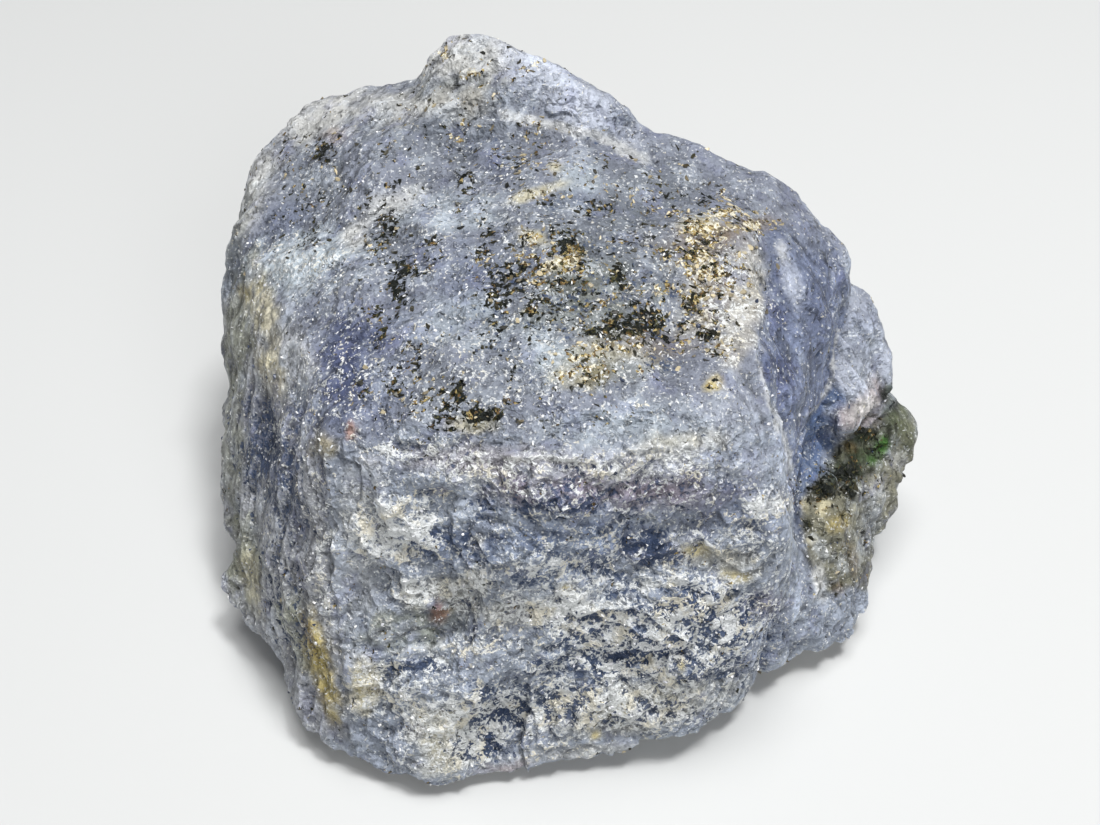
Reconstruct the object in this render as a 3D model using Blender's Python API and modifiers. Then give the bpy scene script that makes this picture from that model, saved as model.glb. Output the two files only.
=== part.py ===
"""Rough iolite: one broken lump of granular violet-blue stone, lying on a small flat spot.

Lengths are millimetres until the finished lump is scaled by MM to metres.
X is to the right, Y away from the viewer and Z up, as the stone lies.
"""

import math

import bmesh
import bpy
from mathutils import Matrix, Vector, noise

MM = 0.001
# Size of the grains that the joined lumps are ground to, and how often their edges are worn.
GRAIN = 0.6
WEAR_STEPS = 3
# Facets that the finished stone keeps.
FACETS = 9000
GROUND = 80.0

VIOLET_GREY = (0.42, 0.44, 0.58, 1.0)

# The stone breaks along sheets that lie parallel to its front face, and they are bent a little.
SHEET_NORMAL = Vector((0.05, -0.95, 0.30)).normalized()
SHEET_THICK = 2.1
# How far the sheets are bent, and the size across of each bend.
SHEET_BENDS = ((12.0, 2.6), (4.0, 1.1))
TERRACE = 0.55
RIB = 1.3

# Each broken surface undulates: the size across of a swell, and its height.
SWELLS = ((12.0, 0.5), (5.6, 0.6), (2.9, 0.4))

# Hollows and lumps that stand out: the middle of each, its radius and its height.
HOLLOWS = (
    ((-4.7, -20.4, 4.9), 3.4, -1.5),
    ((-1.5, -19.8, 7.8), 2.4, -0.8),
    ((4.0, -19.0, 12.0), 4.5, -0.7),
    ((6.0, -16.8, 21.5), 5.5, -0.8),
    ((-10.0, -17.2, 16.0), 5.0, -0.6),
    ((9.0, -18.6, 12.0), 4.0, 0.7),
    ((-2.0, -17.0, 24.0), 5.0, 0.6),
    ((-12.0, -19.0, 10.0), 4.0, 0.6),
    ((-8.0, 5.0, 32.4), 7.0, -0.7),
    ((5.0, 8.0, 33.6), 6.0, -0.8),
    ((9.0, 1.0, 32.5), 4.5, 0.7),
    ((-14.0, 14.0, 31.0), 6.0, 0.6),
    ((-20.0, 10.0, 27.5), 5.0, -0.7),
    ((19.6, -2.0, 14.5), 2.2, -0.5),
    ((17.6, -6.5, 13.5), 2.2, -0.9),
    ((24.5, 0.5, 11.5), 2.2, -0.6),
)

# Corners of the convex lumps that the stone is made of.
FRONT_BLOCK = [
    # top face, round its edge from the front left corner
    (-15.6, -12.8, 27.2), (-17.2, -10.0, 26.6), (-19.1, -6.0, 25.3), (-21.0, -1.7, 24.3),
    (-22.5, 2.0, 24.0), (-24.0, 6.5, 24.3), (-25.8, 15.7, 25.0), (-24.8, 18.2, 27.0),
    (-22.0, 20.2, 28.8), (-20.4, 22.1, 29.6), (-17.4, 23.4, 30.5), (-12.3, 21.8, 32.0),
    (6.0, 13.2, 33.4), (9.0, 12.7, 33.0), (11.2, 11.7, 32.2), (13.4, -2.5, 31.0),
    (13.1, -5.2, 30.4), (12.4, -7.8, 29.8), (12.9, -9.8, 29.0), (13.5, -11.2, 28.0),
    # the brow, its upper and then its lower edge
    (9.5, -13.0, 30.0), (0.0, -13.8, 31.3), (-8.0, -13.0, 30.0),
    (9.5, -15.6, 27.6), (0.0, -16.5, 28.4), (-10.0, -15.4, 26.8),
    # crown of the top face
    (-1.0, 0.0, 33.6), (-9.0, 3.0, 32.6), (-2.0, 9.0, 33.8),
    # front face, down its right edge and then its left one
    (14.0, -12.6, 26.8), (14.6, -13.5, 25.0), (15.1, -14.0, 22.0), (15.4, -14.6, 19.0),
    (15.1, -14.9, 14.0), (14.7, -14.8, 9.6),
    (-15.8, -14.0, 24.0), (-15.9, -15.2, 19.0), (-16.0, -16.8, 14.5), (-16.0, -18.2, 10.0),
    # lower outline, from the right to the left
    (13.9, -15.3, 2.2), (10.8, -17.4, 2.5), (7.1, -20.4, 2.6), (3.6, -21.1, 1.9),
    (-0.4, -20.9, 1.5), (-4.2, -20.7, 1.4), (-7.1, -21.1, 1.1), (-10.0, -22.4, 0.6),
    (-13.2, -21.7, 1.0), (-16.3, -20.8, 1.6), (-17.7, -19.1, 2.2), (-18.7, -17.2, 2.6),
    (-21.3, -14.5, 3.0), (-23.6, -11.9, 3.7), (-25.3, -9.0, 4.8), (-26.7, -4.6, 6.1),
    (-26.8, -0.6, 7.7), (-26.6, 3.7, 10.2), (-26.4, 7.1, 13.0), (-27.5, 10.5, 17.0),
    # back
    (-27.0, 16.0, 20.0), (-24.5, 20.5, 14.0), (-15.0, 25.0, 12.0), (2.0, 23.0, 11.0),
    (14.0, 16.5, 12.0), (-20.0, 23.6, 20.0), (-14.0, 26.0, 20.5), (-6.0, 25.0, 27.0),
    (2.0, 21.5, 27.0), (8.0, 18.5, 22.0), (13.5, 15.5, 18.0),
    # underside, its outer ring and then the foot
    (-16.0, -14.0, 1.2), (11.0, -12.0, 1.1), (14.0, 9.0, 2.0), (3.0, 19.0, 3.0),
    (-14.0, 20.5, 3.0), (-22.0, 9.0, 3.6), (-22.0, -3.0, 3.0),
    (-9.0, -8.0, -0.7), (2.0, -9.0, -0.7), (9.0, -5.0, -0.7), (9.0, 5.0, -0.7),
    (1.0, 10.5, -0.7), (-10.0, 9.5, -0.7), (-13.0, 0.0, -0.7),
]
HUMP = [
    (-10.8, 19.8, 35.8), (-9.4, 19.9, 37.5), (-7.6, 19.4, 38.4), (-5.9, 18.6, 38.5),
    (-4.4, 17.6, 38.0), (-1.6, 16.0, 37.1), (1.2, 14.0, 36.1), (4.2, 13.1, 34.5),
    (6.2, 13.1, 33.8), (-12.4, 18.5, 32.0), (-10.5, 12.5, 32.2), (-4.0, 10.6, 33.0),
    (2.6, 11.8, 33.6), (-13.0, 24.5, 26.0), (-8.0, 23.4, 33.4), (0.0, 20.2, 32.4),
    (7.0, 16.0, 28.0),
]
SHOULDER = [
    (9.0, 12.6, 32.9), (11.2, 11.8, 32.2), (13.2, 10.3, 31.2), (15.3, 9.3, 30.4),
    (17.4, 10.1, 29.7), (19.0, 9.0, 28.8), (19.8, 7.8, 27.4), (21.0, 7.4, 25.9),
    (21.3, 7.0, 23.4), (20.3, 3.8, 22.0), (20.4, 2.0, 19.2), (19.3, 0.4, 18.0),
    (17.2, -3.4, 18.2), (16.2, -7.0, 18.5), (15.4, -11.0, 17.5),
    (13.4, 0.0, 30.4), (13.2, -6.0, 28.3), (14.2, -10.5, 24.0),
    (6.0, 0.0, 20.0), (6.0, 10.0, 20.0), (14.0, 14.0, 20.0),
]
RIGHT_CORE = [
    (20.9, 6.8, 23.0), (19.9, 3.2, 19.0), (19.4, -0.2, 14.6), (17.6, -5.0, 13.6),
    (16.4, -9.0, 13.2), (15.4, -13.0, 11.4), (15.4, -12.9, 2.9), (5.0, 0.0, 4.0),
    (5.0, 10.0, 20.0), (12.0, 15.5, 14.0), (20.5, 10.5, 13.0), (17.0, 13.0, 21.0),
]
RIGHT_SLAB = [
    (21.3, 8.0, 23.6), (22.8, 7.2, 22.3), (24.2, 6.0, 20.3), (25.6, 5.3, 17.6),
    (25.8, 4.4, 15.7), (24.7, 2.4, 14.8), (21.5, -1.8, 15.6), (20.3, -2.3, 16.6),
    (20.7, -0.4, 18.7), (21.0, 1.7, 20.2), (21.2, 4.0, 21.3), (17.0, 5.0, 16.0),
    (19.0, 11.0, 14.0), (22.0, 10.5, 17.0),
]
RIGHT_FOOT = [
    (17.4, -5.4, 14.0), (21.0, 1.0, 14.9), (25.2, 5.6, 14.4), (27.6, 4.2, 7.4),
    (26.6, 1.2, 5.7), (26.0, -0.4, 5.1), (24.6, -4.7, 4.0), (23.4, -7.4, 3.0),
    (22.7, -9.9, 2.4), (20.7, -11.5, 2.1), (18.2, -12.7, 2.0), (15.6, -14.0, 1.9),
    (15.6, -13.2, 10.8), (22.6, -3.6, 11.2), (16.0, -8.0, 0.8), (20.0, -4.0, 1.2),
    (21.5, 2.0, 1.8), (19.0, 9.0, 1.8), (24.5, 8.8, 11.0), (23.5, 7.5, 5.0),
    (10.0, -8.0, 0.5), (6.0, 4.0, 1.0),
]
KNOB = [
    (25.3, 6.5, 13.2), (26.8, 6.5, 12.2), (28.7, 5.6, 10.7), (28.5, 3.9, 9.4),
    (27.6, 2.2, 8.6), (25.6, -0.6, 9.4), (24.0, 1.4, 13.6), (21.5, 5.0, 9.5),
    (24.5, 9.4, 9.5), (25.0, 3.4, 5.8), (27.5, 7.6, 9.5),
]
BACK_LEDGE = [
    (-21.0, 22.5, 9.0), (-12.0, 27.0, 8.0), (0.0, 26.5, 8.5), (9.0, 21.5, 9.0),
    (-18.0, 25.0, 17.0), (-9.0, 26.0, 19.0), (-1.0, 24.8, 17.5), (8.0, 20.5, 15.0),
    (-14.0, 19.0, 3.0), (2.0, 19.0, 3.2), (-10.0, 10.0, 12.0), (4.0, 10.0, 12.0),
]


def clear_scene():
    """Removes what Blender's startup scene holds."""
    for obj in list(bpy.data.objects):
        bpy.data.objects.remove(obj)


def new_collection(name):
    """A collection in the scene."""
    made = bpy.data.collections.new(name)
    bpy.context.scene.collection.children.link(made)
    return made


def hull(name, corners, collection):
    """The convex lump whose corners these are."""
    bm = bmesh.new()
    for corner in corners:
        bm.verts.new(corner)
    made = bmesh.ops.convex_hull(bm, input=bm.verts)
    inside = set(made["geom_interior"]) | set(made["geom_unused"])
    loose = [part for part in inside if isinstance(part, bmesh.types.BMVert)]
    bmesh.ops.delete(bm, geom=loose, context="VERTS")
    bmesh.ops.recalc_face_normals(bm, faces=bm.faces)
    mesh = bpy.data.meshes.new(name)
    bm.to_mesh(mesh)
    bm.free()
    obj = bpy.data.objects.new(name, mesh)
    collection.objects.link(obj)
    return obj


def helper(obj):
    """Keeps a cutter or a joined lump out of the model."""
    obj.hide_render = True
    obj.display_type = "WIRE"
    return obj


def boolean(obj, other, operation):
    """Joins another lump to this one, or cuts it away."""
    modifier = obj.modifiers.new(other.name, "BOOLEAN")
    modifier.operation = operation
    modifier.object = other


def freeze(obj):
    """Makes the shape that the modifiers give the object's own mesh."""
    graph = bpy.context.evaluated_depsgraph_get()
    mesh = bpy.data.meshes.new_from_object(obj.evaluated_get(graph))
    obj.modifiers.clear()
    obj.data = mesh


def wear(obj):
    """Grinds the joined lumps into one skin whose edges are worn round."""
    remesh = obj.modifiers.new("grain", "REMESH")
    remesh.mode = "VOXEL"
    remesh.voxel_size = GRAIN
    smooth = obj.modifiers.new("wear", "SMOOTH")
    smooth.factor = 0.5
    smooth.iterations = WEAR_STEPS


def smooth_step(value):
    """Eases a value from 0 to 1 in between those two."""
    value = min(1.0, max(0.0, value))
    return value * value * (3 - 2 * value)


def sheet_depth(point):
    """How many sheets out a point lies, counted along the sheets' normal."""
    bend = sum(noise.noise(point / size) * far for size, far in SHEET_BENDS)
    return (point.dot(SHEET_NORMAL) + bend) / SHEET_THICK


def terrace(point):
    """How far a surface along the sheets breaks back, or stands out, to the nearest sheet."""
    depth = sheet_depth(point)
    across = depth - math.floor(depth)
    return (smooth_step(across * 3.0 - 1.0) - across) * SHEET_THICK * TERRACE


def rib(point):
    """How far a sheet stands out of a surface that cuts across the sheets."""
    depth = sheet_depth(point)
    layer = math.floor(depth)
    low, high = (
        noise.noise(Vector((number * 3.7, point.x / 16.0, point.z / 16.0)))
        for number in (layer, layer + 1)
    )
    return (low + (high - low) * smooth_step((depth - layer) * 2.0 - 0.5)) * RIB


def dent(point):
    """How far the hollows and the lumps that stand out move a point."""
    moved = 0.0
    for middle, radius, height in HOLLOWS:
        away = (point - Vector(middle)).length / radius
        moved += height * (1.0 - smooth_step(away / 1.5))
    return moved


def break_surface(obj):
    """Moves each point of the skin by the swells, the hollows and the sheets' ledges."""
    mesh = obj.data
    normals = [vertex.normal.copy() for vertex in mesh.vertices]
    for vertex, normal in zip(mesh.vertices, normals):
        point = vertex.co.copy()
        height = sum(noise.noise(point / size) * tall for size, tall in SWELLS)
        height += dent(point) + rib(point) * normal.x * normal.x
        stepped = terrace(point) * max(0.0, -normal.y)
        vertex.co = point + normal * height + SHEET_NORMAL * stepped


def cut_flat(obj, collection):
    """Cuts the underside off at Z 0, which leaves the flat spot that the stone rests on."""
    bm = bmesh.new()
    bmesh.ops.create_cube(bm, size=GROUND, matrix=Matrix.Translation((0, 0, -GROUND / 2)))
    mesh = bpy.data.meshes.new("ground")
    bm.to_mesh(mesh)
    bm.free()
    ground = bpy.data.objects.new("ground", mesh)
    collection.objects.link(ground)
    boolean(obj, helper(ground), "DIFFERENCE")


def colour(obj):
    """Gives the stone its matt violet grey."""
    made = bpy.data.materials.new("iolite")
    made.use_nodes = True
    shader = made.node_tree.nodes["Principled BSDF"]
    shader.inputs["Base Color"].default_value = VIOLET_GREY
    shader.inputs["Roughness"].default_value = 0.6
    shader.inputs["Metallic"].default_value = 0.0
    obj.data.materials.clear()
    obj.data.materials.append(made)


def stand(obj):
    """Puts the origin under the middle of the stone, at its foot."""
    xs, ys, _ = zip(*(vertex.co for vertex in obj.data.vertices))
    middle = Vector(((min(xs) + max(xs)) / 2, (min(ys) + max(ys)) / 2, 0))
    obj.data.transform(Matrix.Scale(MM, 4) @ Matrix.Translation(-middle))


def main():
    clear_scene()
    stone = new_collection("rough_iolite")
    lumps = new_collection("lumps")
    body = hull("iolite", FRONT_BLOCK, stone)
    joined = (
        ("hump", HUMP),
        ("shoulder", SHOULDER),
        ("right_core", RIGHT_CORE),
        ("right_slab", RIGHT_SLAB),
        ("right_foot", RIGHT_FOOT),
        ("knob", KNOB),
        ("back_ledge", BACK_LEDGE),
    )
    for name, corners in joined:
        boolean(body, helper(hull(name, corners, lumps)), "UNION")
    wear(body)
    freeze(body)
    break_surface(body)
    thin = body.modifiers.new("facets", "DECIMATE")
    thin.ratio = min(1.0, FACETS / (2 * len(body.data.polygons)))
    cut_flat(body, lumps)
    freeze(body)
    for lump in list(lumps.objects):
        bpy.data.objects.remove(lump)
    bpy.data.collections.remove(lumps)
    colour(body)
    stand(body)


main()
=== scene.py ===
"""Rough iolite on a pale studio floor: the sugary stone, its mica flakes and its frosted grains.

Lengths in the names that end in _mm are millimetres, all others are metres. A place on the stone
is named by the pixel of the photograph's 1100 x 825 frame in which it is seen.
"""

from __future__ import annotations

import logging
import math
from dataclasses import dataclass
from enum import Enum
from typing import Sequence

import bmesh
import bpy
import numpy as np
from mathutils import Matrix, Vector, noise

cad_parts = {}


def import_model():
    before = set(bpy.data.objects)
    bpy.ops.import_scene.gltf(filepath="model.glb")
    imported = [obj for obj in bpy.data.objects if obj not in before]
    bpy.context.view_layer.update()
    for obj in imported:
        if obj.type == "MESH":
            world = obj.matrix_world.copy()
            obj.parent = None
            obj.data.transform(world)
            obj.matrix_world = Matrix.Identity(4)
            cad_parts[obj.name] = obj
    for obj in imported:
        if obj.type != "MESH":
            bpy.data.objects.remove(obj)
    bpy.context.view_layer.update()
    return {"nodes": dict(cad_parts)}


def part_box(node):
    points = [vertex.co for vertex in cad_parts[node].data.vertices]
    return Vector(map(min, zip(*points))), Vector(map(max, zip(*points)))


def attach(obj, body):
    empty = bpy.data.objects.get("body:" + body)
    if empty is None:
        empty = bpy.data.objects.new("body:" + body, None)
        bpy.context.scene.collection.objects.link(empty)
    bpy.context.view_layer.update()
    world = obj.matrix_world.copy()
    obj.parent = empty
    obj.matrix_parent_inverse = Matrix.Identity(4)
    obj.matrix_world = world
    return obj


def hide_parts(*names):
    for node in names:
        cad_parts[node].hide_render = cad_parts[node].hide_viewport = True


LOG = logging.getLogger("rough_iolite")
MM = 0.001
NODE = "iolite"
BODY = "root"
FRAME_WIDE, FRAME_HIGH = 1100, 825
MID_GREY = (0.5, 0.5, 0.5)

Pixel = tuple[float, float]
Span = tuple[float, float]
Colour = tuple[float, ...]


def linear(red: int, green: int, blue: int) -> tuple[float, float, float]:
    """A screen colour of 0 to 255 as the linear light that a shader takes.

    Args:
        red, green, blue: the screen colour.

    Returns:
        Its red, green and blue light, 0 to 1.
    """
    return tuple(
        part / 12.92 if part <= 0.04045 else ((part + 0.055) / 1.055) ** 2.4
        for part in (red / 255, green / 255, blue / 255)
    )


class Pigment(Enum):
    """The colours that the broken stone shows."""

    PERIWINKLE = linear(127, 132, 145)
    LAVENDER = linear(148, 156, 170)
    PALE_LILAC = linear(196, 202, 216)
    PALE_BLUE = linear(190, 201, 209)
    DEEP_VIOLET = linear(58, 67, 102)
    VIOLET = linear(109, 118, 142)
    STEEL_BLUE = linear(90, 108, 142)
    SLATE = linear(158, 160, 165)
    NAVY = linear(72, 82, 106)
    MAUVE = linear(128, 118, 130)
    MILK = linear(212, 213, 212)
    QUARTZ = linear(186, 180, 165)
    CREAM = linear(205, 197, 165)
    YELLOW = linear(206, 190, 128)
    OCHRE = linear(158, 142, 82)
    OLIVE = linear(126, 128, 100)
    GREY = linear(200, 200, 196)
    WARM_GREY = linear(118, 115, 92)
    PINK_GREY = linear(158, 149, 150)
    RUST = linear(150, 92, 58)
    BROWN = linear(120, 98, 62)
    GREEN = linear(52, 66, 42)
    MOSS = linear(62, 104, 40)
    BLACK_GREEN = linear(12, 18, 14)
    STONE_GREY = linear(114, 120, 128)


class Cover(Enum):
    """What covers or cuts the stone in places, with the name of its attribute on the skin."""

    FROST = "frost"
    DARK = "dark"
    BLACK_MICA = "black_mica"
    GOLD_MICA = "gold_mica"
    # where white flakes lie whose colour is a painted glint: light caught by tiny facets
    PAINTED_GLINTS = "glints"
    PITS = "pits"
    LUMPS = "lumps"


@dataclass(frozen=True)
class Patch:
    """A ragged round patch of a pigment or a cover.

    at is its middle and size its two half widths, in pixels; turn is in degrees.
    """

    kind: Pigment | Cover
    at: Pixel
    size: Pixel
    amount: float = 1.0
    turn: float = 0.0


def patches(kind: Pigment | Cover, *places: tuple) -> tuple[Patch, ...]:
    """Patches of one kind, each place giving a patch's other values in their order."""
    return tuple(Patch(kind, *place) for place in places)


@dataclass(frozen=True)
class Field:
    """A broken face of the stone, inside an outline in pixels, in one pigment."""

    kind: Pigment
    outline: tuple[Pixel, ...]
    amount: float = 1.0
    soft: float = 8.0


@dataclass(frozen=True)
class Vein:
    """A thin line of a pigment along a path in pixels."""

    kind: Pigment
    path: tuple[Pixel, ...]
    width: float
    amount: float = 1.0


@dataclass(frozen=True)
class Ledge:
    """The edge of a broken sheet: the ground left of the path stands higher by rise_mm."""

    path: tuple[Pixel, ...]
    rise_mm: float
    width: float


FIELDS = (
    # left flank
    Field(Pigment.SLATE, ((215, 300), (248, 292), (262, 330), (292, 400), (322, 445), (330, 500),
                          (335, 600), (345, 650), (352, 780), (290, 760), (215, 600)), 0.9),
    # front face
    Field(Pigment.LAVENDER, ((322, 445), (430, 442), (560, 440), (700, 450), (785, 465),
                             (797, 540), (785, 640), (740, 710), (600, 775), (430, 795),
                             (352, 780), (338, 600)), 0.8, 14.0),
    # right side, behind the ridge
    Field(Pigment.VIOLET, ((766, 225), (800, 215), (835, 245), (852, 285), (843, 330), (836, 380),
                           (815, 410), (800, 470), (797, 545), (789, 470), (776, 412), (758, 372),
                           (764, 330), (769, 262)), 0.95, 5.0),
    Field(Pigment.PALE_LILAC, ((852, 285), (890, 335), (903, 368), (900, 392), (885, 415),
                               (850, 443), (838, 436), (847, 400), (838, 380), (842, 330)),
          0.5, 5.0),
    Field(Pigment.STEEL_BLUE, ((838, 382), (847, 400), (838, 425), (834, 452), (815, 482),
                               (800, 500), (797, 470), (806, 430), (820, 402)), 1.0, 4.0),
    Field(Pigment.WARM_GREY, ((804, 505), (838, 443), (885, 415), (900, 400), (925, 430),
                              (905, 500), (875, 590), (830, 592), (803, 552)), 0.85, 5.0),
)

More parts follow.
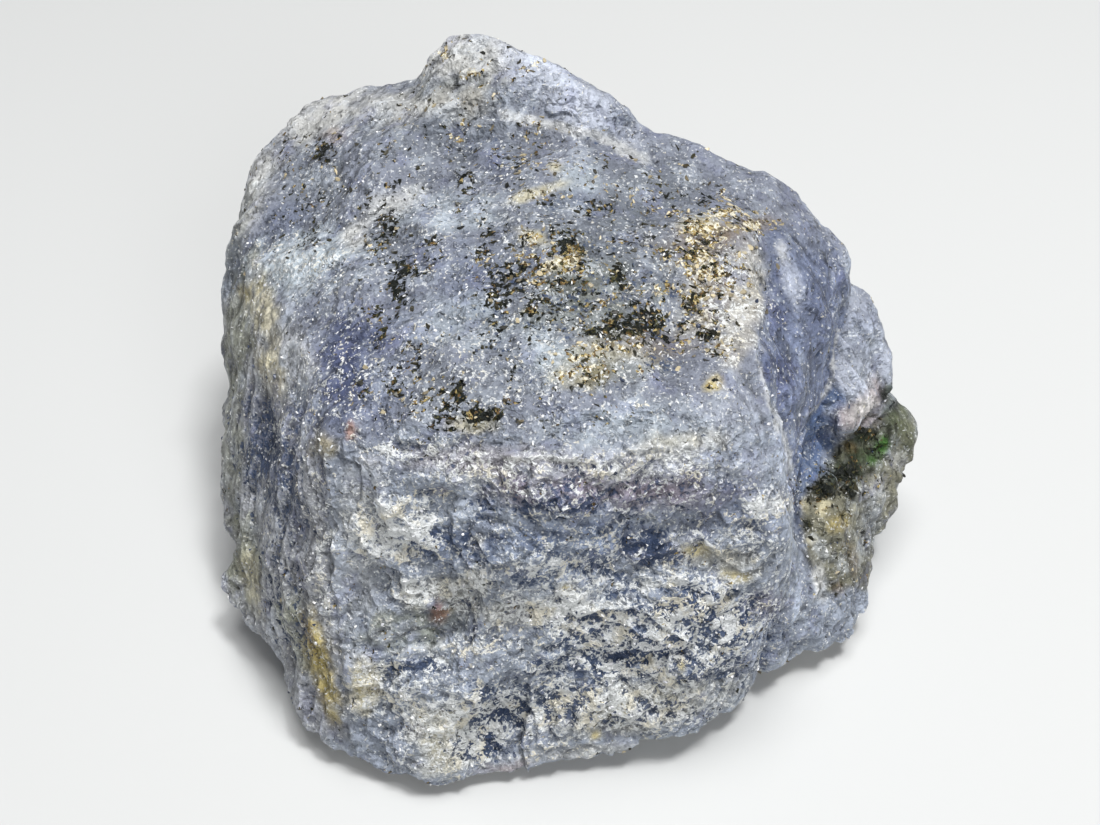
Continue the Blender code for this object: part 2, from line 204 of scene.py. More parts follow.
PATCHES = (
    # mica zones
    *patches(Pigment.STONE_GREY, ((590, 280), (110, 90), 0.8), ((450, 130), (80, 50), 0.6),
             ((310, 175), (40, 40), 0.5), ((650, 190), (60, 30), 0.6), ((450, 390), (70, 36), 0.5),
             ((390, 245), (40, 44), 0.5)),
    *patches(Pigment.OLIVE, ((590, 300), (60, 40), 0.35), ((460, 90), (44, 22), 0.3),
             ((600, 368), (50, 18), 0.3)),
    # hump
    Patch(Pigment.GREY, (465, 58), (55, 26), 0.9),
    Patch(Pigment.MILK, (450, 45), (30, 14), 0.5),
    *patches(Pigment.PALE_LILAC, ((535, 70), (40, 16), 0.6, 30), ((570, 95), (62, 22), 0.9, 35)),
    *patches(Pigment.DEEP_VIOLET, ((605, 118), (26, 5), 0.3, 42), ((545, 88), (22, 5), 0.18, 35)),
    Patch(Pigment.GREY, (450, 100), (40, 18), 0.5),
    # top face, left
    *patches(Pigment.GREY, ((318, 118), (42, 22), 0.8, -20), ((390, 105), (45, 18), 0.6),
             ((250, 190), (20, 52), 0.7, 20)),
    Patch(Pigment.OLIVE, (238, 220), (12, 50), 0.25, 12),
    Patch(Pigment.RUST, (334, 136), (16, 9), 0.18),
    Patch(Pigment.VIOLET, (278, 225), (34, 20), 0.5, -25),
    Patch(Pigment.PALE_BLUE, (305, 262), (52, 28), 0.85, -10),
    *patches(Pigment.MILK, ((395, 203), (30, 12), 0.75, -15), ((354, 235), (11, 16), 0.9, 35)),
    Patch(Pigment.VIOLET, (352, 380), (52, 84), 0.6, 10),
    *patches(Pigment.DEEP_VIOLET, ((342, 370), (26, 54), 0.8, 8), ((375, 340), (36, 18), 0.5)),
    Patch(Pigment.VIOLET, (460, 280), (60, 40), 0.4),
    # top face, middle
    Patch(Pigment.DEEP_VIOLET, (495, 158), (22, 22), 0.4),
    *patches(Pigment.PALE_BLUE, ((450, 212), (48, 18), 0.5), ((460, 320), (46, 26), 0.4),
             ((545, 350), (26, 26), 0.6), ((580, 178), (20, 16), 0.5)),
    Patch(Pigment.STEEL_BLUE, (572, 200), (24, 12), 0.25),
    Patch(Pigment.PALE_BLUE, (625, 425), (75, 20), 0.45),
    *patches(Pigment.CREAM, ((560, 262), (22, 8), 0.8, -20), ((531, 236), (16, 7), 0.7, 25),
             ((538, 192), (32, 5), 0.7, -18), ((555, 166), (6, 5), 0.8), ((610, 352), (34, 10), 0.5, 10)),
    Patch(Pigment.OCHRE, (582, 374), (28, 12), 0.45),
    Patch(Pigment.CREAM, (466, 426), (26, 8), 0.6),
    Patch(Pigment.BROWN, (470, 100), (30, 12), 0.2),
    # top face, right
    *patches(Pigment.QUARTZ, ((742, 300), (22, 52), 0.7, 8), ((702, 284), (22, 26), 0.6),
             ((692, 322), (20, 18), 0.5)),
    Patch(Pigment.MILK, (735, 318), (12, 14), 0.5),
    *patches(Pigment.BROWN, ((706, 240), (44, 22), 0.45), ((748, 226), (30, 10), 0.6, -8),
             ((712, 290), (20, 40), 0.3), ((650, 345), (50, 14), 0.35)),
    Patch(Pigment.CREAM, (700, 222), (20, 8), 0.5),
    Patch(Pigment.YELLOW, (713, 384), (11, 7), 0.9, -20),
    Patch(Pigment.CREAM, (672, 446), (52, 12), 0.4, -8),
    Patch(Pigment.PALE_LILAC, (735, 420), (34, 32), 0.25),
    # edge of the top and the left flank
    Patch(Pigment.OLIVE, (240, 330), (16, 60), 0.6, 4),
    Patch(Pigment.OCHRE, (250, 291), (15, 10), 0.6),
    *patches(Pigment.CREAM, ((266, 318), (13, 44), 0.75, -12), ((272, 372), (12, 26), 0.8, -25)),
    Patch(Pigment.GREY, (292, 352), (16, 40), 0.4, -20),
    Patch(Pigment.OCHRE, (325, 446), (14, 13), 0.55),
    Patch(Pigment.RUST, (350, 432), (4, 9), 0.7),
    Patch(Pigment.OLIVE, (234, 440), (12, 70), 0.5),
    Patch(Pigment.DEEP_VIOLET, (272, 440), (28, 60), 0.45, -14),
    *patches(Pigment.NAVY, ((264, 450), (20, 36), 0.6, -10), ((290, 510), (16, 40), 0.5, -20)),
    Patch(Pigment.OLIVE, (244, 560), (18, 44), 0.65, -8),
    Patch(Pigment.CREAM, (250, 575), (9, 30), 0.5, -12),
    *patches(Pigment.OLIVE, ((292, 612), (16, 22), 0.5), ((300, 640), (12, 40), 0.5, -20)),
    *patches(Pigment.OCHRE, ((318, 652), (12, 40), 0.9, -16), ((330, 696), (11, 28), 0.7, -12)),
    Patch(Pigment.YELLOW, (322, 664), (9, 44), 0.7, -16),
    Patch(Pigment.BROWN, (308, 632), (4, 22), 0.6, -20),
    # front face, above
    Patch(Pigment.GREY, (362, 530), (26, 90), 0.35, -4),
    Patch(Pigment.PINK_GREY, (480, 458), (100, 14), 0.5),
    Patch(Pigment.PALE_LILAC, (640, 462), (110, 14), 0.4),
    Patch(Pigment.PINK_GREY, (610, 476), (150, 18), 0.35, 2),
    Patch(Pigment.MAUVE, (610, 492), (125, 16), 0.8, 2),
    Patch(Pigment.DEEP_VIOLET, (556, 506), (36, 9), 0.7, 4),
    Patch(Pigment.NAVY, (552, 512), (42, 8), 0.4, 4),
    Patch(Pigment.MAUVE, (520, 488), (24, 20), 0.5),
    Patch(Pigment.VIOLET, (740, 505), (46, 34), 0.5),
    Patch(Pigment.DEEP_VIOLET, (712, 480), (26, 10), 0.4),
    *patches(Pigment.STEEL_BLUE, ((570, 542), (80, 18), 0.65), ((455, 545), (50, 22), 0.5)),
    *patches(Pigment.NAVY, ((462, 540), (40, 14), 0.45), ((650, 545), (30, 15), 0.85)),
    Patch(Pigment.GREY, (678, 548), (16, 12), 0.7),
    *patches(Pigment.YELLOW, ((697, 551), (15, 7), 0.75, 8), ((735, 577), (16, 7), 0.7, 14)),
    Patch(Pigment.CREAM, (720, 562), (42, 12), 0.35, 10),
    Patch(Pigment.LAVENDER, (780, 545), (18, 26), 0.8),
    *patches(Pigment.MILK, ((768, 503), (22, 9), 0.5), ((478, 541), (6, 7), 0.9)),
    # front face, left and below
    Patch(Pigment.CREAM, (446, 592), (44, 18), 0.4, -10),
    Patch(Pigment.OLIVE, (408, 628), (48, 20), 0.6, -10),
    Patch(Pigment.RUST, (438, 612), (9, 14), 0.6),
    Patch(Pigment.CREAM, (366, 686), (15, 24), 0.95),
    Patch(Pigment.YELLOW, (362, 680), (8, 12), 0.5),
    Patch(Pigment.MILK, (362, 662), (16, 10), 0.4),
    Patch(Pigment.CREAM, (440, 742), (28, 34), 0.6, 20),
    Patch(Pigment.LAVENDER, (368, 748), (40, 16), 0.8, 15),
    *patches(Pigment.NAVY, ((492, 716), (24, 28), 0.75), ((480, 748), (32, 10), 0.5)),
    Patch(Pigment.PINK_GREY, (505, 768), (28, 7), 0.8, -8),
    Patch(Pigment.CREAM, (560, 612), (80, 16), 0.35),
    *patches(Pigment.STEEL_BLUE, ((560, 575), (60, 10), 0.3), ((610, 640), (70, 34), 0.5),
             ((706, 612), (56, 26), 0.6)),
    Patch(Pigment.NAVY, (700, 606), (30, 12), 0.4),
    Patch(Pigment.CREAM, (640, 704), (90, 26), 0.4, -12),
    Patch(Pigment.MAUVE, (765, 606), (22, 16), 0.5),
    Patch(Pigment.VIOLET, (772, 630), (22, 34), 0.4),
    *patches(Pigment.YELLOW, ((565, 588), (6, 7), 0.6), ((597, 735), (6, 6), 0.8), ((622, 708), (7, 5), 0.6),
             ((681, 663), (5, 11), 0.8), ((666, 624), (5, 5), 0.7)),
    Patch(Pigment.GREY, (600, 752), (78, 9), 0.5, -4),
    # right side
    Patch(Pigment.PERIWINKLE, (800, 225), (36, 18), 0.7, 35),
    Patch(Pigment.MILK, (782, 252), (6, 14), 0.6, -20),
    Patch(Pigment.PALE_LILAC, (793, 285), (9, 26), 0.6, -15),
    *patches(Pigment.DEEP_VIOLET, ((776, 374), (18, 18), 0.7), ((776, 302), (9, 30), 0.4),
             ((822, 300), (12, 40), 0.25)),
    Patch(Pigment.VIOLET, (862, 335), (16, 24), 0.35),
    *patches(Pigment.PINK_GREY, ((860, 416), (26, 17), 0.95, -25), ((876, 394), (10, 18), 0.9)),
    Patch(Pigment.GREY, (866, 408), (16, 10), 0.5, -30),
    Patch(Pigment.NAVY, (838, 430), (4, 14), 0.7),
    Patch(Pigment.PALE_LILAC, (826, 458), (8, 9), 0.5),
    Patch(Pigment.NAVY, (830, 474), (8, 8), 0.6),
    # green and black corner
    *patches(Pigment.GREEN, ((860, 458), (42, 18), 0.85, -32), ((893, 412), (12, 26), 0.7),
             ((886, 392), (7, 8), 0.6), ((862, 436), (16, 7), 0.8, -20)),
    *patches(Pigment.MOSS, ((884, 446), (6, 11), 0.9, 15), ((873, 460), (6, 5), 0.7)),
    Patch(Pigment.OLIVE, (905, 424), (9, 28), 0.6),
    Patch(Pigment.GREEN, (904, 430), (12, 34), 0.4),
    *patches(Pigment.GREY, ((897, 458), (9, 11), 0.5), ((878, 490), (11, 13), 0.4)),
    *patches(Pigment.CREAM, ((824, 506), (7, 8), 0.9, 10), ((805, 506), (4, 8), 0.8)),
    # near-black in the green corner's cavities: a dark green mineral, deepened to black by painted shade in the
    # cavities
    *patches(Pigment.BLACK_GREEN, ((822, 488), (14, 9), 1.0, -10), ((850, 466), (12, 9), 1.0, 20),
             ((851, 492), (12, 6), 1.0, 60), ((868, 432), (10, 5), 0.9, -25), ((870, 470), (8, 5), 0.8, -25),
             ((882, 396), (5, 8), 0.9), ((895, 404), (3, 6), 0.8), ((890, 432), (4, 8), 0.7),
             ((807, 522), (5, 6), 0.9)),
    Patch(Pigment.BROWN, (850, 447), (7, 6), 0.5),
    Patch(Pigment.OCHRE, (838, 522), (10, 10), 0.6),
    Patch(Pigment.CREAM, (810, 540), (7, 4), 0.7),
    *patches(Pigment.BROWN, ((841, 590), (9, 8), 0.6), ((855, 560), (7, 14), 0.5)),
    *patches(Pigment.LAVENDER, ((830, 614), (36, 18), 0.9, -20), ((868, 530), (10, 40), 0.3, 10)),
    Patch(Pigment.MILK, (819, 578), (8, 20), 1.0, -5),
    # frosting
    *patches(Cover.FROST, ((590, 590), (210, 150), 0.22), ((392, 530), (46, 34), 0.85),
             ((410, 450), (60, 14), 0.6), ((470, 475), (44, 20), 0.5), ((560, 464), (75, 9), 0.55),
             ((602, 470), (18, 8), 0.7), ((660, 465), (60, 16), 0.4), ((436, 590), (48, 18), 0.75),
             ((555, 570), (65, 22), 0.45), ((565, 612), (74, 16), 0.7), ((654, 584), (44, 10), 0.65),
             ((640, 645), (86, 40), 0.6), ((470, 650), (54, 14), 0.5, -10), ((440, 730), (48, 46), 0.66),
             ((500, 715), (30, 30), 0.55), ((386, 690), (38, 26), 0.62), ((560, 710), (54, 40), 0.55),
             ((655, 700), (72, 34), 0.5), ((715, 610), (54, 40), 0.6), ((765, 503), (28, 14), 0.55),
             ((740, 540), (44, 30), 0.35), ((350, 375), (46, 46), 0.25), ((305, 262), (50, 28), 0.35),
             ((725, 300), (36, 50), 0.4), ((280, 430), (36, 90), 0.14, -15),
             ((300, 600), (30, 90), 0.14, -15), ((322, 560), (9, 110), 0.4, -4),
             ((590, 330), (140, 120), 0.14), ((460, 380), (90, 60), 0.18), ((440, 230), (80, 60), 0.14)),
    # dark grains
    *patches(Cover.DARK, ((650, 547), (38, 18), 0.7), ((560, 505), (75, 14), 0.5),
             ((600, 490), (120, 20), 0.35), ((462, 540), (40, 16), 0.35), ((560, 580), (80, 20), 0.3),
             ((615, 645), (80, 44), 0.55), ((705, 620), (60, 32), 0.66), ((702, 664), (50, 24), 0.6),
             ((495, 715), (34, 32), 0.72), ((480, 746), (34, 14), 0.66), ((560, 700), (40, 26), 0.5),
             ((640, 710), (52, 20), 0.45), ((410, 665), (26, 12), 0.5), ((272, 468), (34, 80), 0.5, -15),
             ((285, 610), (22, 60), 0.4, -15), ((590, 300), (120, 80), 0.25)),
    # black mica
    *patches(Cover.BLACK_MICA, ((322, 150), (9, 12), 0.9), ((335, 192), (39, 14), 0.25),
             ((302, 206), (18, 16), 0.4), ((294, 134), (20, 11), 0.35), ((310, 238), (9, 10), 0.6),
             ((365, 203), (11, 14), 0.5), ((394, 188), (8, 11), 0.7), ((384, 158), (7, 25), 0.4),
             ((390, 228), (12, 16), 0.7), ((378, 243), (11, 11), 0.6), ((432, 248), (7, 20), 0.5, 20),
             ((402, 270), (18, 11), 0.6), ((402, 288), (12, 18), 0.9), ((377, 311), (11, 10), 0.7),
             ((382, 330), (10, 14), 0.7, 25), ((410, 150), (100, 40), 0.09), ((466, 185), (11, 16), 0.5),
             ((487, 232), (9, 12), 0.8), ((484, 252), (8, 9), 0.7), ((498, 290), (15, 23), 0.7),
             ((530, 268), (36, 14), 0.55), ((500, 320), (14, 18), 0.5), ((566, 246), (17, 17), 0.95),
             ((592, 205), (25, 11), 0.5, -20), ((610, 165), (11, 12), 0.4), ((517, 165), (7, 18), 0.5),
             ((706, 199), (9, 7), 0.95), ((682, 232), (30, 20), 0.4), ((698, 250), (18, 18), 0.7),
             ((690, 300), (12, 14), 0.9), ((617, 280), (10, 10), 0.8), ((560, 300), (53, 41), 0.45),
             ((622, 250), (60, 30), 0.2), ((642, 321), (32, 12), 0.95), ((600, 334), (27, 12), 0.7),
             ((650, 340), (36, 11), 0.5), ((706, 336), (12, 7), 0.8), ((685, 330), (14, 12), 0.5),
             ((716, 352), (8, 8), 0.6), ((570, 388), (34, 11), 0.35), ((408, 370), (23, 20), 0.55),
             ((392, 389), (11, 8), 0.8), ((366, 393), (7, 5), 0.9), ((457, 391), (9, 16), 0.95),
             ((447, 400), (11, 11), 0.7), ((476, 414), (15, 10), 0.95), ((495, 412), (11, 8), 0.8),
             ((510, 388), (9, 23), 0.45), ((425, 405), (20, 16), 0.35), ((438, 420), (14, 9), 0.5),
             ((488, 350), (11, 18), 0.35), ((544, 424), (7, 9), 0.5), ((600, 412), (9, 16), 0.4),
             ((545, 240), (120, 90), 0.09), ((878, 440), (16, 25), 0.4), ((845, 550), (23, 43), 0.2),
             # the black flakes in the green corner on this line lie in its cavities: dark mineral with painted
             # shade
             ((821, 489), (13, 8), 1.0), ((846, 471), (14, 9), 1.0), ((851, 493), (8, 8), 0.9),
             ((868, 432), (10, 6), 0.7), ((807, 522), (5, 6), 0.9), ((575, 285), (95, 75), 0.26),
             ((455, 120), (70, 60), 0.18), ((312, 185), (48, 56), 0.2), ((400, 240), (34, 60), 0.14),
             ((430, 395), (70, 34), 0.22), ((700, 280), (50, 70), 0.26), ((640, 190), (60, 34), 0.14),
             ((500, 190), (60, 40), 0.16), ((840, 480), (40, 24), 0.5, -30)),
    # gold and brown mica
    *patches(Cover.GOLD_MICA, ((562, 262), (26, 10), 0.8, -20), ((530, 236), (14, 8), 0.6),
             ((540, 275), (30, 10), 0.5), ((605, 350), (34, 12), 0.6), ((582, 374), (30, 12), 0.7),
             ((706, 260), (16, 14), 0.7), ((690, 226), (30, 12), 0.5), ((722, 212), (20, 6), 0.8, -10),
             ((748, 226), (28, 9), 0.7), ((712, 385), (10, 7), 0.6), ((620, 300), (90, 60), 0.14),
             ((425, 412), (18, 9), 0.4), ((310, 165), (36, 34), 0.2), ((540, 192), (32, 8), 0.5),
             ((470, 90), (60, 34), 0.15), ((444, 55), (6, 5), 0.9), ((468, 74), (12, 5), 0.8),
             ((530, 68), (12, 4), 0.6, -30), ((458, 140), (9, 5), 0.6), ((535, 130), (14, 12), 0.5),
             ((385, 245), (20, 16), 0.3), ((475, 416), (16, 8), 0.5), ((690, 310), (20, 24), 0.3),
             ((825, 505), (16, 14), 0.3), ((848, 570), (14, 26), 0.25), ((700, 260), (48, 70), 0.55),
             ((730, 220), (44, 14), 0.5), ((560, 270), (60, 34), 0.4), ((640, 350), (60, 24), 0.35),
             ((440, 400), (70, 30), 0.3), ((530, 150), (40, 30), 0.3), ((640, 185), (40, 20), 0.3)),
    # white flakes whose pale colour is a painted glint, standing for light caught by tiny facets
    *patches(Cover.PAINTED_GLINTS, ((350, 385), (60, 70), 0.75), ((430, 310), (120, 100), 0.5),
             ((590, 330), (130, 110), 0.6), ((440, 180), (150, 90), 0.5), ((300, 260), (60, 40), 0.6),
             ((690, 280), (44, 80), 0.6), ((640, 420), (130, 40), 0.35), ((280, 420), (40, 110), 0.2, -15),
             ((560, 600), (190, 140), 0.3)),
    # shape of the ground
    *patches(Cover.PITS, ((590, 490), (150, 24), 0.9, 2), ((495, 718), (30, 26), 1.0),
             ((620, 640), (110, 50), 0.5), ((470, 470), (40, 20), 0.6)),
    *patches(Cover.LUMPS, ((860, 480), (52, 60), 1.0, 20), ((840, 545), (30, 40), 0.6),
             ((690, 280), (50, 80), 0.5)),
)

VEINS = (
    Vein(Pigment.MILK, ((505, 113), (540, 120), (575, 131), (612, 142), (645, 160)), 7.0, 0.7),
    Vein(Pigment.MILK, ((838, 330), (833, 352), (835, 374), (827, 394), (812, 414)), 2.6, 0.7),
    Vein(Pigment.MILK, ((757, 360), (762, 392), (776, 415), (786, 445), (788, 470)), 3.0, 0.55),
    Vein(Pigment.GREY, ((505, 459), (530, 462), (556, 457), (580, 459)), 3.0, 0.7),
    # painted shade: a dark line in the crevice of the step between the front block and the right side
    Vein(Pigment.NAVY, ((793, 462), (797, 500), (798, 540)), 3.0, 0.6),
    Vein(Pigment.NAVY, ((761, 330), (760, 350), (757, 366)), 2.5, 0.6),
    Vein(Pigment.MILK, ((392, 652), (425, 645), (445, 640)), 2.5, 0.5),
)

LEDGES = (
    Ledge(((838, 325), (833, 352), (835, 376), (827, 395), (812, 415), (803, 440)), -0.5, 26.0),
    Ledge(((838, 380), (847, 398), (846, 414), (838, 424), (838, 440), (862, 434), (882, 412)), 0.6, 26.0),
    Ledge(((764, 325), (757, 362), (768, 396), (780, 425), (788, 470), (795, 520), (795, 560)), -0.35, 34.0),
    Ledge(((322, 452), (330, 520), (334, 580), (342, 640), (352, 700)), 0.3, 30.0),
    Ledge(((470, 462), (505, 459), (530, 463), (556, 457), (600, 462), (650, 452)), 0.3, 22.0),
    Ledge(((590, 145), (612, 142), (645, 160)), -0.3, 18.0),
    Ledge(((380, 652), (425, 646), (450, 636)), -0.3, 22.0),
    Ledge(((640, 560), (668, 548), (690, 540), (716, 552)), 0.3, 20.0),
    Ledge(((528, 690), (527, 720), (524, 760)), 0.5, 26.0),
)


@dataclass(frozen=True)
class Wave:
    """One random wave through space: how high it is, how far from crest to crest, and which one it is."""

    height: float
    size_mm: float
    shift: float = 0.0


@dataclass(frozen=True)
class Drift:
    """How something is strewn over the sides that the photograph doesn't show.

    A random wave of size_mm and shift, made ragged, gives least below start and most more above full.
    """

    size_mm: float
    shift: float
    start: float
    full: float
    most: float = 1.0
    least: float = 0.0
    ragged: float = 0.0


HIDDEN_COVERS = {
    Cover.FROST: Drift(7.0, 31.0, 0.05, 0.6, most=0.5, ragged=0.5),
    Cover.DARK: Drift(6.0, 41.0, 0.1, 0.6, most=0.5, ragged=0.5),
    Cover.BLACK_MICA: Drift(5.0, 51.0, 0.2, 0.6, most=0.5, least=0.03, ragged=0.5),
    Cover.GOLD_MICA: Drift(5.0, 61.0, 0.25, 0.6, most=0.4, least=0.01, ragged=0.5),
    # painted glints are strewn on the hidden sides too
    Cover.PAINTED_GLINTS: Drift(5.0, 91.0, -0.2, 0.5, most=0.5, ragged=0.5),
    Cover.PITS: Drift(8.0, 71.0, 0.1, 0.4),
    Cover.LUMPS: Drift(9.0, 81.0, 0.2, 0.5),
}
HIDDEN_PIGMENTS = {
    Pigment.SLATE: Drift(14.0, 101.0, 0.0, 0.4, most=0.8),
    Pigment.DEEP_VIOLET: Drift(10.0, 111.0, 0.1, 0.5, most=0.8),
    Pigment.PALE_BLUE: Drift(9.0, 121.0, 0.1, 0.5, most=0.8),
    Pigment.OLIVE: Drift(8.0, 131.0, 0.25, 1.0, most=0.8, ragged=0.3),
    Pigment.OCHRE: Drift(6.0, 141.0, 0.4, 1.3, most=0.8, ragged=0.3),
}
SHOWN_COVERS = (Cover.FROST, Cover.DARK, Cover.BLACK_MICA, Cover.GOLD_MICA, Cover.PAINTED_GLINTS)

# how far marks stray, in pixels; a patch wider than WIDE_PATCH strays by all of it, the least by BASE_STRAY of it
STRAY_ACROSS = (Wave(9.0, 2.6, 3.1), Wave(5.0, 0.9, 7.7))
STRAY_DOWN = (Wave(9.0, 2.6, 21.3), Wave(5.0, 0.9, 11.9))
BASE_STRAY, WIDE_PATCH = 0.6, 26.0
# the raggedness of the rims, and where a rim starts and ends as a share of the patch's half width
RAGGED, RAGGED_RIM = (Wave(1.0, 1.6, 5.5), Wave(0.6, 0.7, 6.5)), 0.5
COVER_RIM, PIGMENT_RIM, VEIN_RIM, LEDGE_RIM = (0.2, 1.7), (0.4, 1.5), 0.4, 2.5
OVERLAP = 0.3

# how much of the way out must be towards the camera, up, forward or aside, from none to wholly so
SEEN, FACES_UP, FACES_FRONT = (-0.12, 0.06), (0.35, 0.75), (0.3, 0.75)
FACES_SIDE, FACES_FLANK = (0.4, 0.8), (0.35, 0.7)

# the way out of the stone's sheets, across them and along their edges on the flanks
SHEET_OUT, SHEET_UP = 0.93, 0.36
SHEET_FRAME = np.array(((1.0, 0.0, 0.0), (0.0, -SHEET_OUT, SHEET_UP), (0.0, SHEET_UP, SHEET_OUT)))
SHEET_SWELLS = (Wave(1.4, 5.0, 2.0), Wave(0.55, 1.5, 9.0))
# the fine lines there: how strong, how long each way in millimetres, and which
STREAKS = ((1.0, (1.6, 0.45, 3.5), 17.0), (0.6, (0.9, 0.22, 2.4), 19.0))
STREAK_SHADE = 0.9

# the relief everywhere, and the crags of broken ground
SWELLS = (Wave(0.26, 2.6), Wave(0.13, 1.1, 4.0), Wave(0.09, 0.6, 8.0))
CRAGS = (Wave(0.04, 2.2, 12.0), Wave(0.14, 0.95, 13.0))
# how crags shrink: the fall of each step, its size against the last, the steps, their lift and their sharpness
CRAG_FORM = (0.9, 2.1, 3, 0.9, 2.0)
HASH_TURNS, HASH_SCALE = (12.9898, 78.233, 37.719), 43758.5453


def ease(value: np.ndarray, low: float, high: float) -> np.ndarray:
    """Rises smoothly from 0 at low to 1 at high.

    Args:
        value: where to read the rise.
        low, high: where it starts and ends.

    Returns:
        The height of the rise at each value.
    """
    part = np.clip((value - low) / (high - low), 0.0, 1.0)
    return part * part * (3.0 - 2.0 * part)


def own_number(key: np.ndarray) -> np.ndarray:
    """A number from 0 to 1 that looks random and is each key's own."""
    return np.mod(np.abs(np.sin(key)) * HASH_SCALE, 1.0)


def ripple(points: np.ndarray, size: float, shift: float = 0.0) -> np.ndarray:
    """A smooth random wave through space.

    Args:
        points: where it is read, in millimetres.
        size: how far it is from crest to crest, in millimetres.
        shift: another number gives another wave.

    Returns:
        Its height at each point, mostly from -0.6 to 0.6.
    """
    return np.array([noise.noise(spot) for spot in (points / size + shift).tolist()])


def ripples(points: np.ndarray, waves: Sequence[Wave]) -> np.ndarray:
    """The sum of some random waves at each point."""
    return sum(wave.height * ripple(points, wave.size_mm, wave.shift) for wave in waves)


def grains(points: np.ndarray, size: float, shift: float = 0.0) -> tuple[np.ndarray, np.ndarray]:
    """Packed grains through space.

    Args:
        points: where they are read, in millimetres.
        size: the size of a grain, in millimetres.
        shift: another number gives other grains.

    Returns:
        For each point, 0 at the rim to 1 at the heart of its grain, and a number that is that grain's own.
    """
    rim, own = [], []
    for spot in (points / size + shift).tolist():
        far, hearts = noise.voronoi(spot)
        rim.append(far[1] - far[0])
        own.append(sum(part * turn for part, turn in zip(hearts[0], HASH_TURNS)))
    return np.clip(np.array(rim), 0.0, 1.0), own_number(np.array(own))


def crags(points: np.ndarray, size: float, shift: float = 0.0) -> np.ndarray:
    """Sharp crests with rounded hollows between them, through space.

    Args:
        points: where they are read, in millimetres.
        size: how far it is from crest to crest, in millimetres.
        shift: another number gives other crags.

    Returns:
        Their height at each point, from about -1 in a hollow to 1 on a crest.
    """
    spots = (points / size + shift).tolist()
    return np.array([noise.ridged_multi_fractal(spot, *CRAG_FORM) for spot in spots]) - 1.0


@dataclass(frozen=True)
class PhotoCamera:
    """The camera where the photograph was taken from."""

    lens_mm: float = 50.0
    sensor_mm: float = 36.0
    nearest: float = 0.005
    elevation: float = math.radians(45.0)
    distance: float = 0.115
    target: tuple[float, float, float] = (-0.00165, -0.00242, 0.017)

    def ahead(self) -> np.ndarray:
        """The way the camera looks."""
        return np.array((0.0, math.cos(self.elevation), -math.sin(self.elevation)))

    def above(self) -> np.ndarray:
        """The way that is up in the picture."""
        return np.array((0.0, math.sin(self.elevation), math.cos(self.elevation)))

    def place(self) -> np.ndarray:
        """Where the camera stands."""
        return np.array(self.target) - self.distance * self.ahead()

    def see(self, points: np.ndarray) -> tuple[np.ndarray, np.ndarray]:
        """The pixels in which points are seen.

        Args:
            points: places in metres.

        Returns:
            The pixels across and down.
        """
        away = points - self.place()
        depth = away @ self.ahead()
        focal = self.lens_mm / self.sensor_mm * FRAME_WIDE
        across = FRAME_WIDE / 2 + focal * away[:, 0] / depth
        down = FRAME_HIGH / 2 - focal * (away @ self.above()) / depth
        return across, down

    def build(self) -> bpy.types.Object:
        """Stands the camera in the scene and makes it the one that renders.

        Returns:
            The camera.
        """
        data = bpy.data.cameras.new("photo_camera")
        data.lens, data.sensor_width = self.lens_mm, self.sensor_mm
        data.clip_start = self.nearest
        camera = bpy.data.objects.new("photo_camera", data)
        bpy.context.scene.collection.objects.link(camera)
        camera.location = self.place()
        camera.rotation_mode = "QUATERNION"
        camera.rotation_quaternion = Vector(self.ahead()).to_track_quat("-Z", "Y")
        bpy.context.scene.camera = camera
        return camera


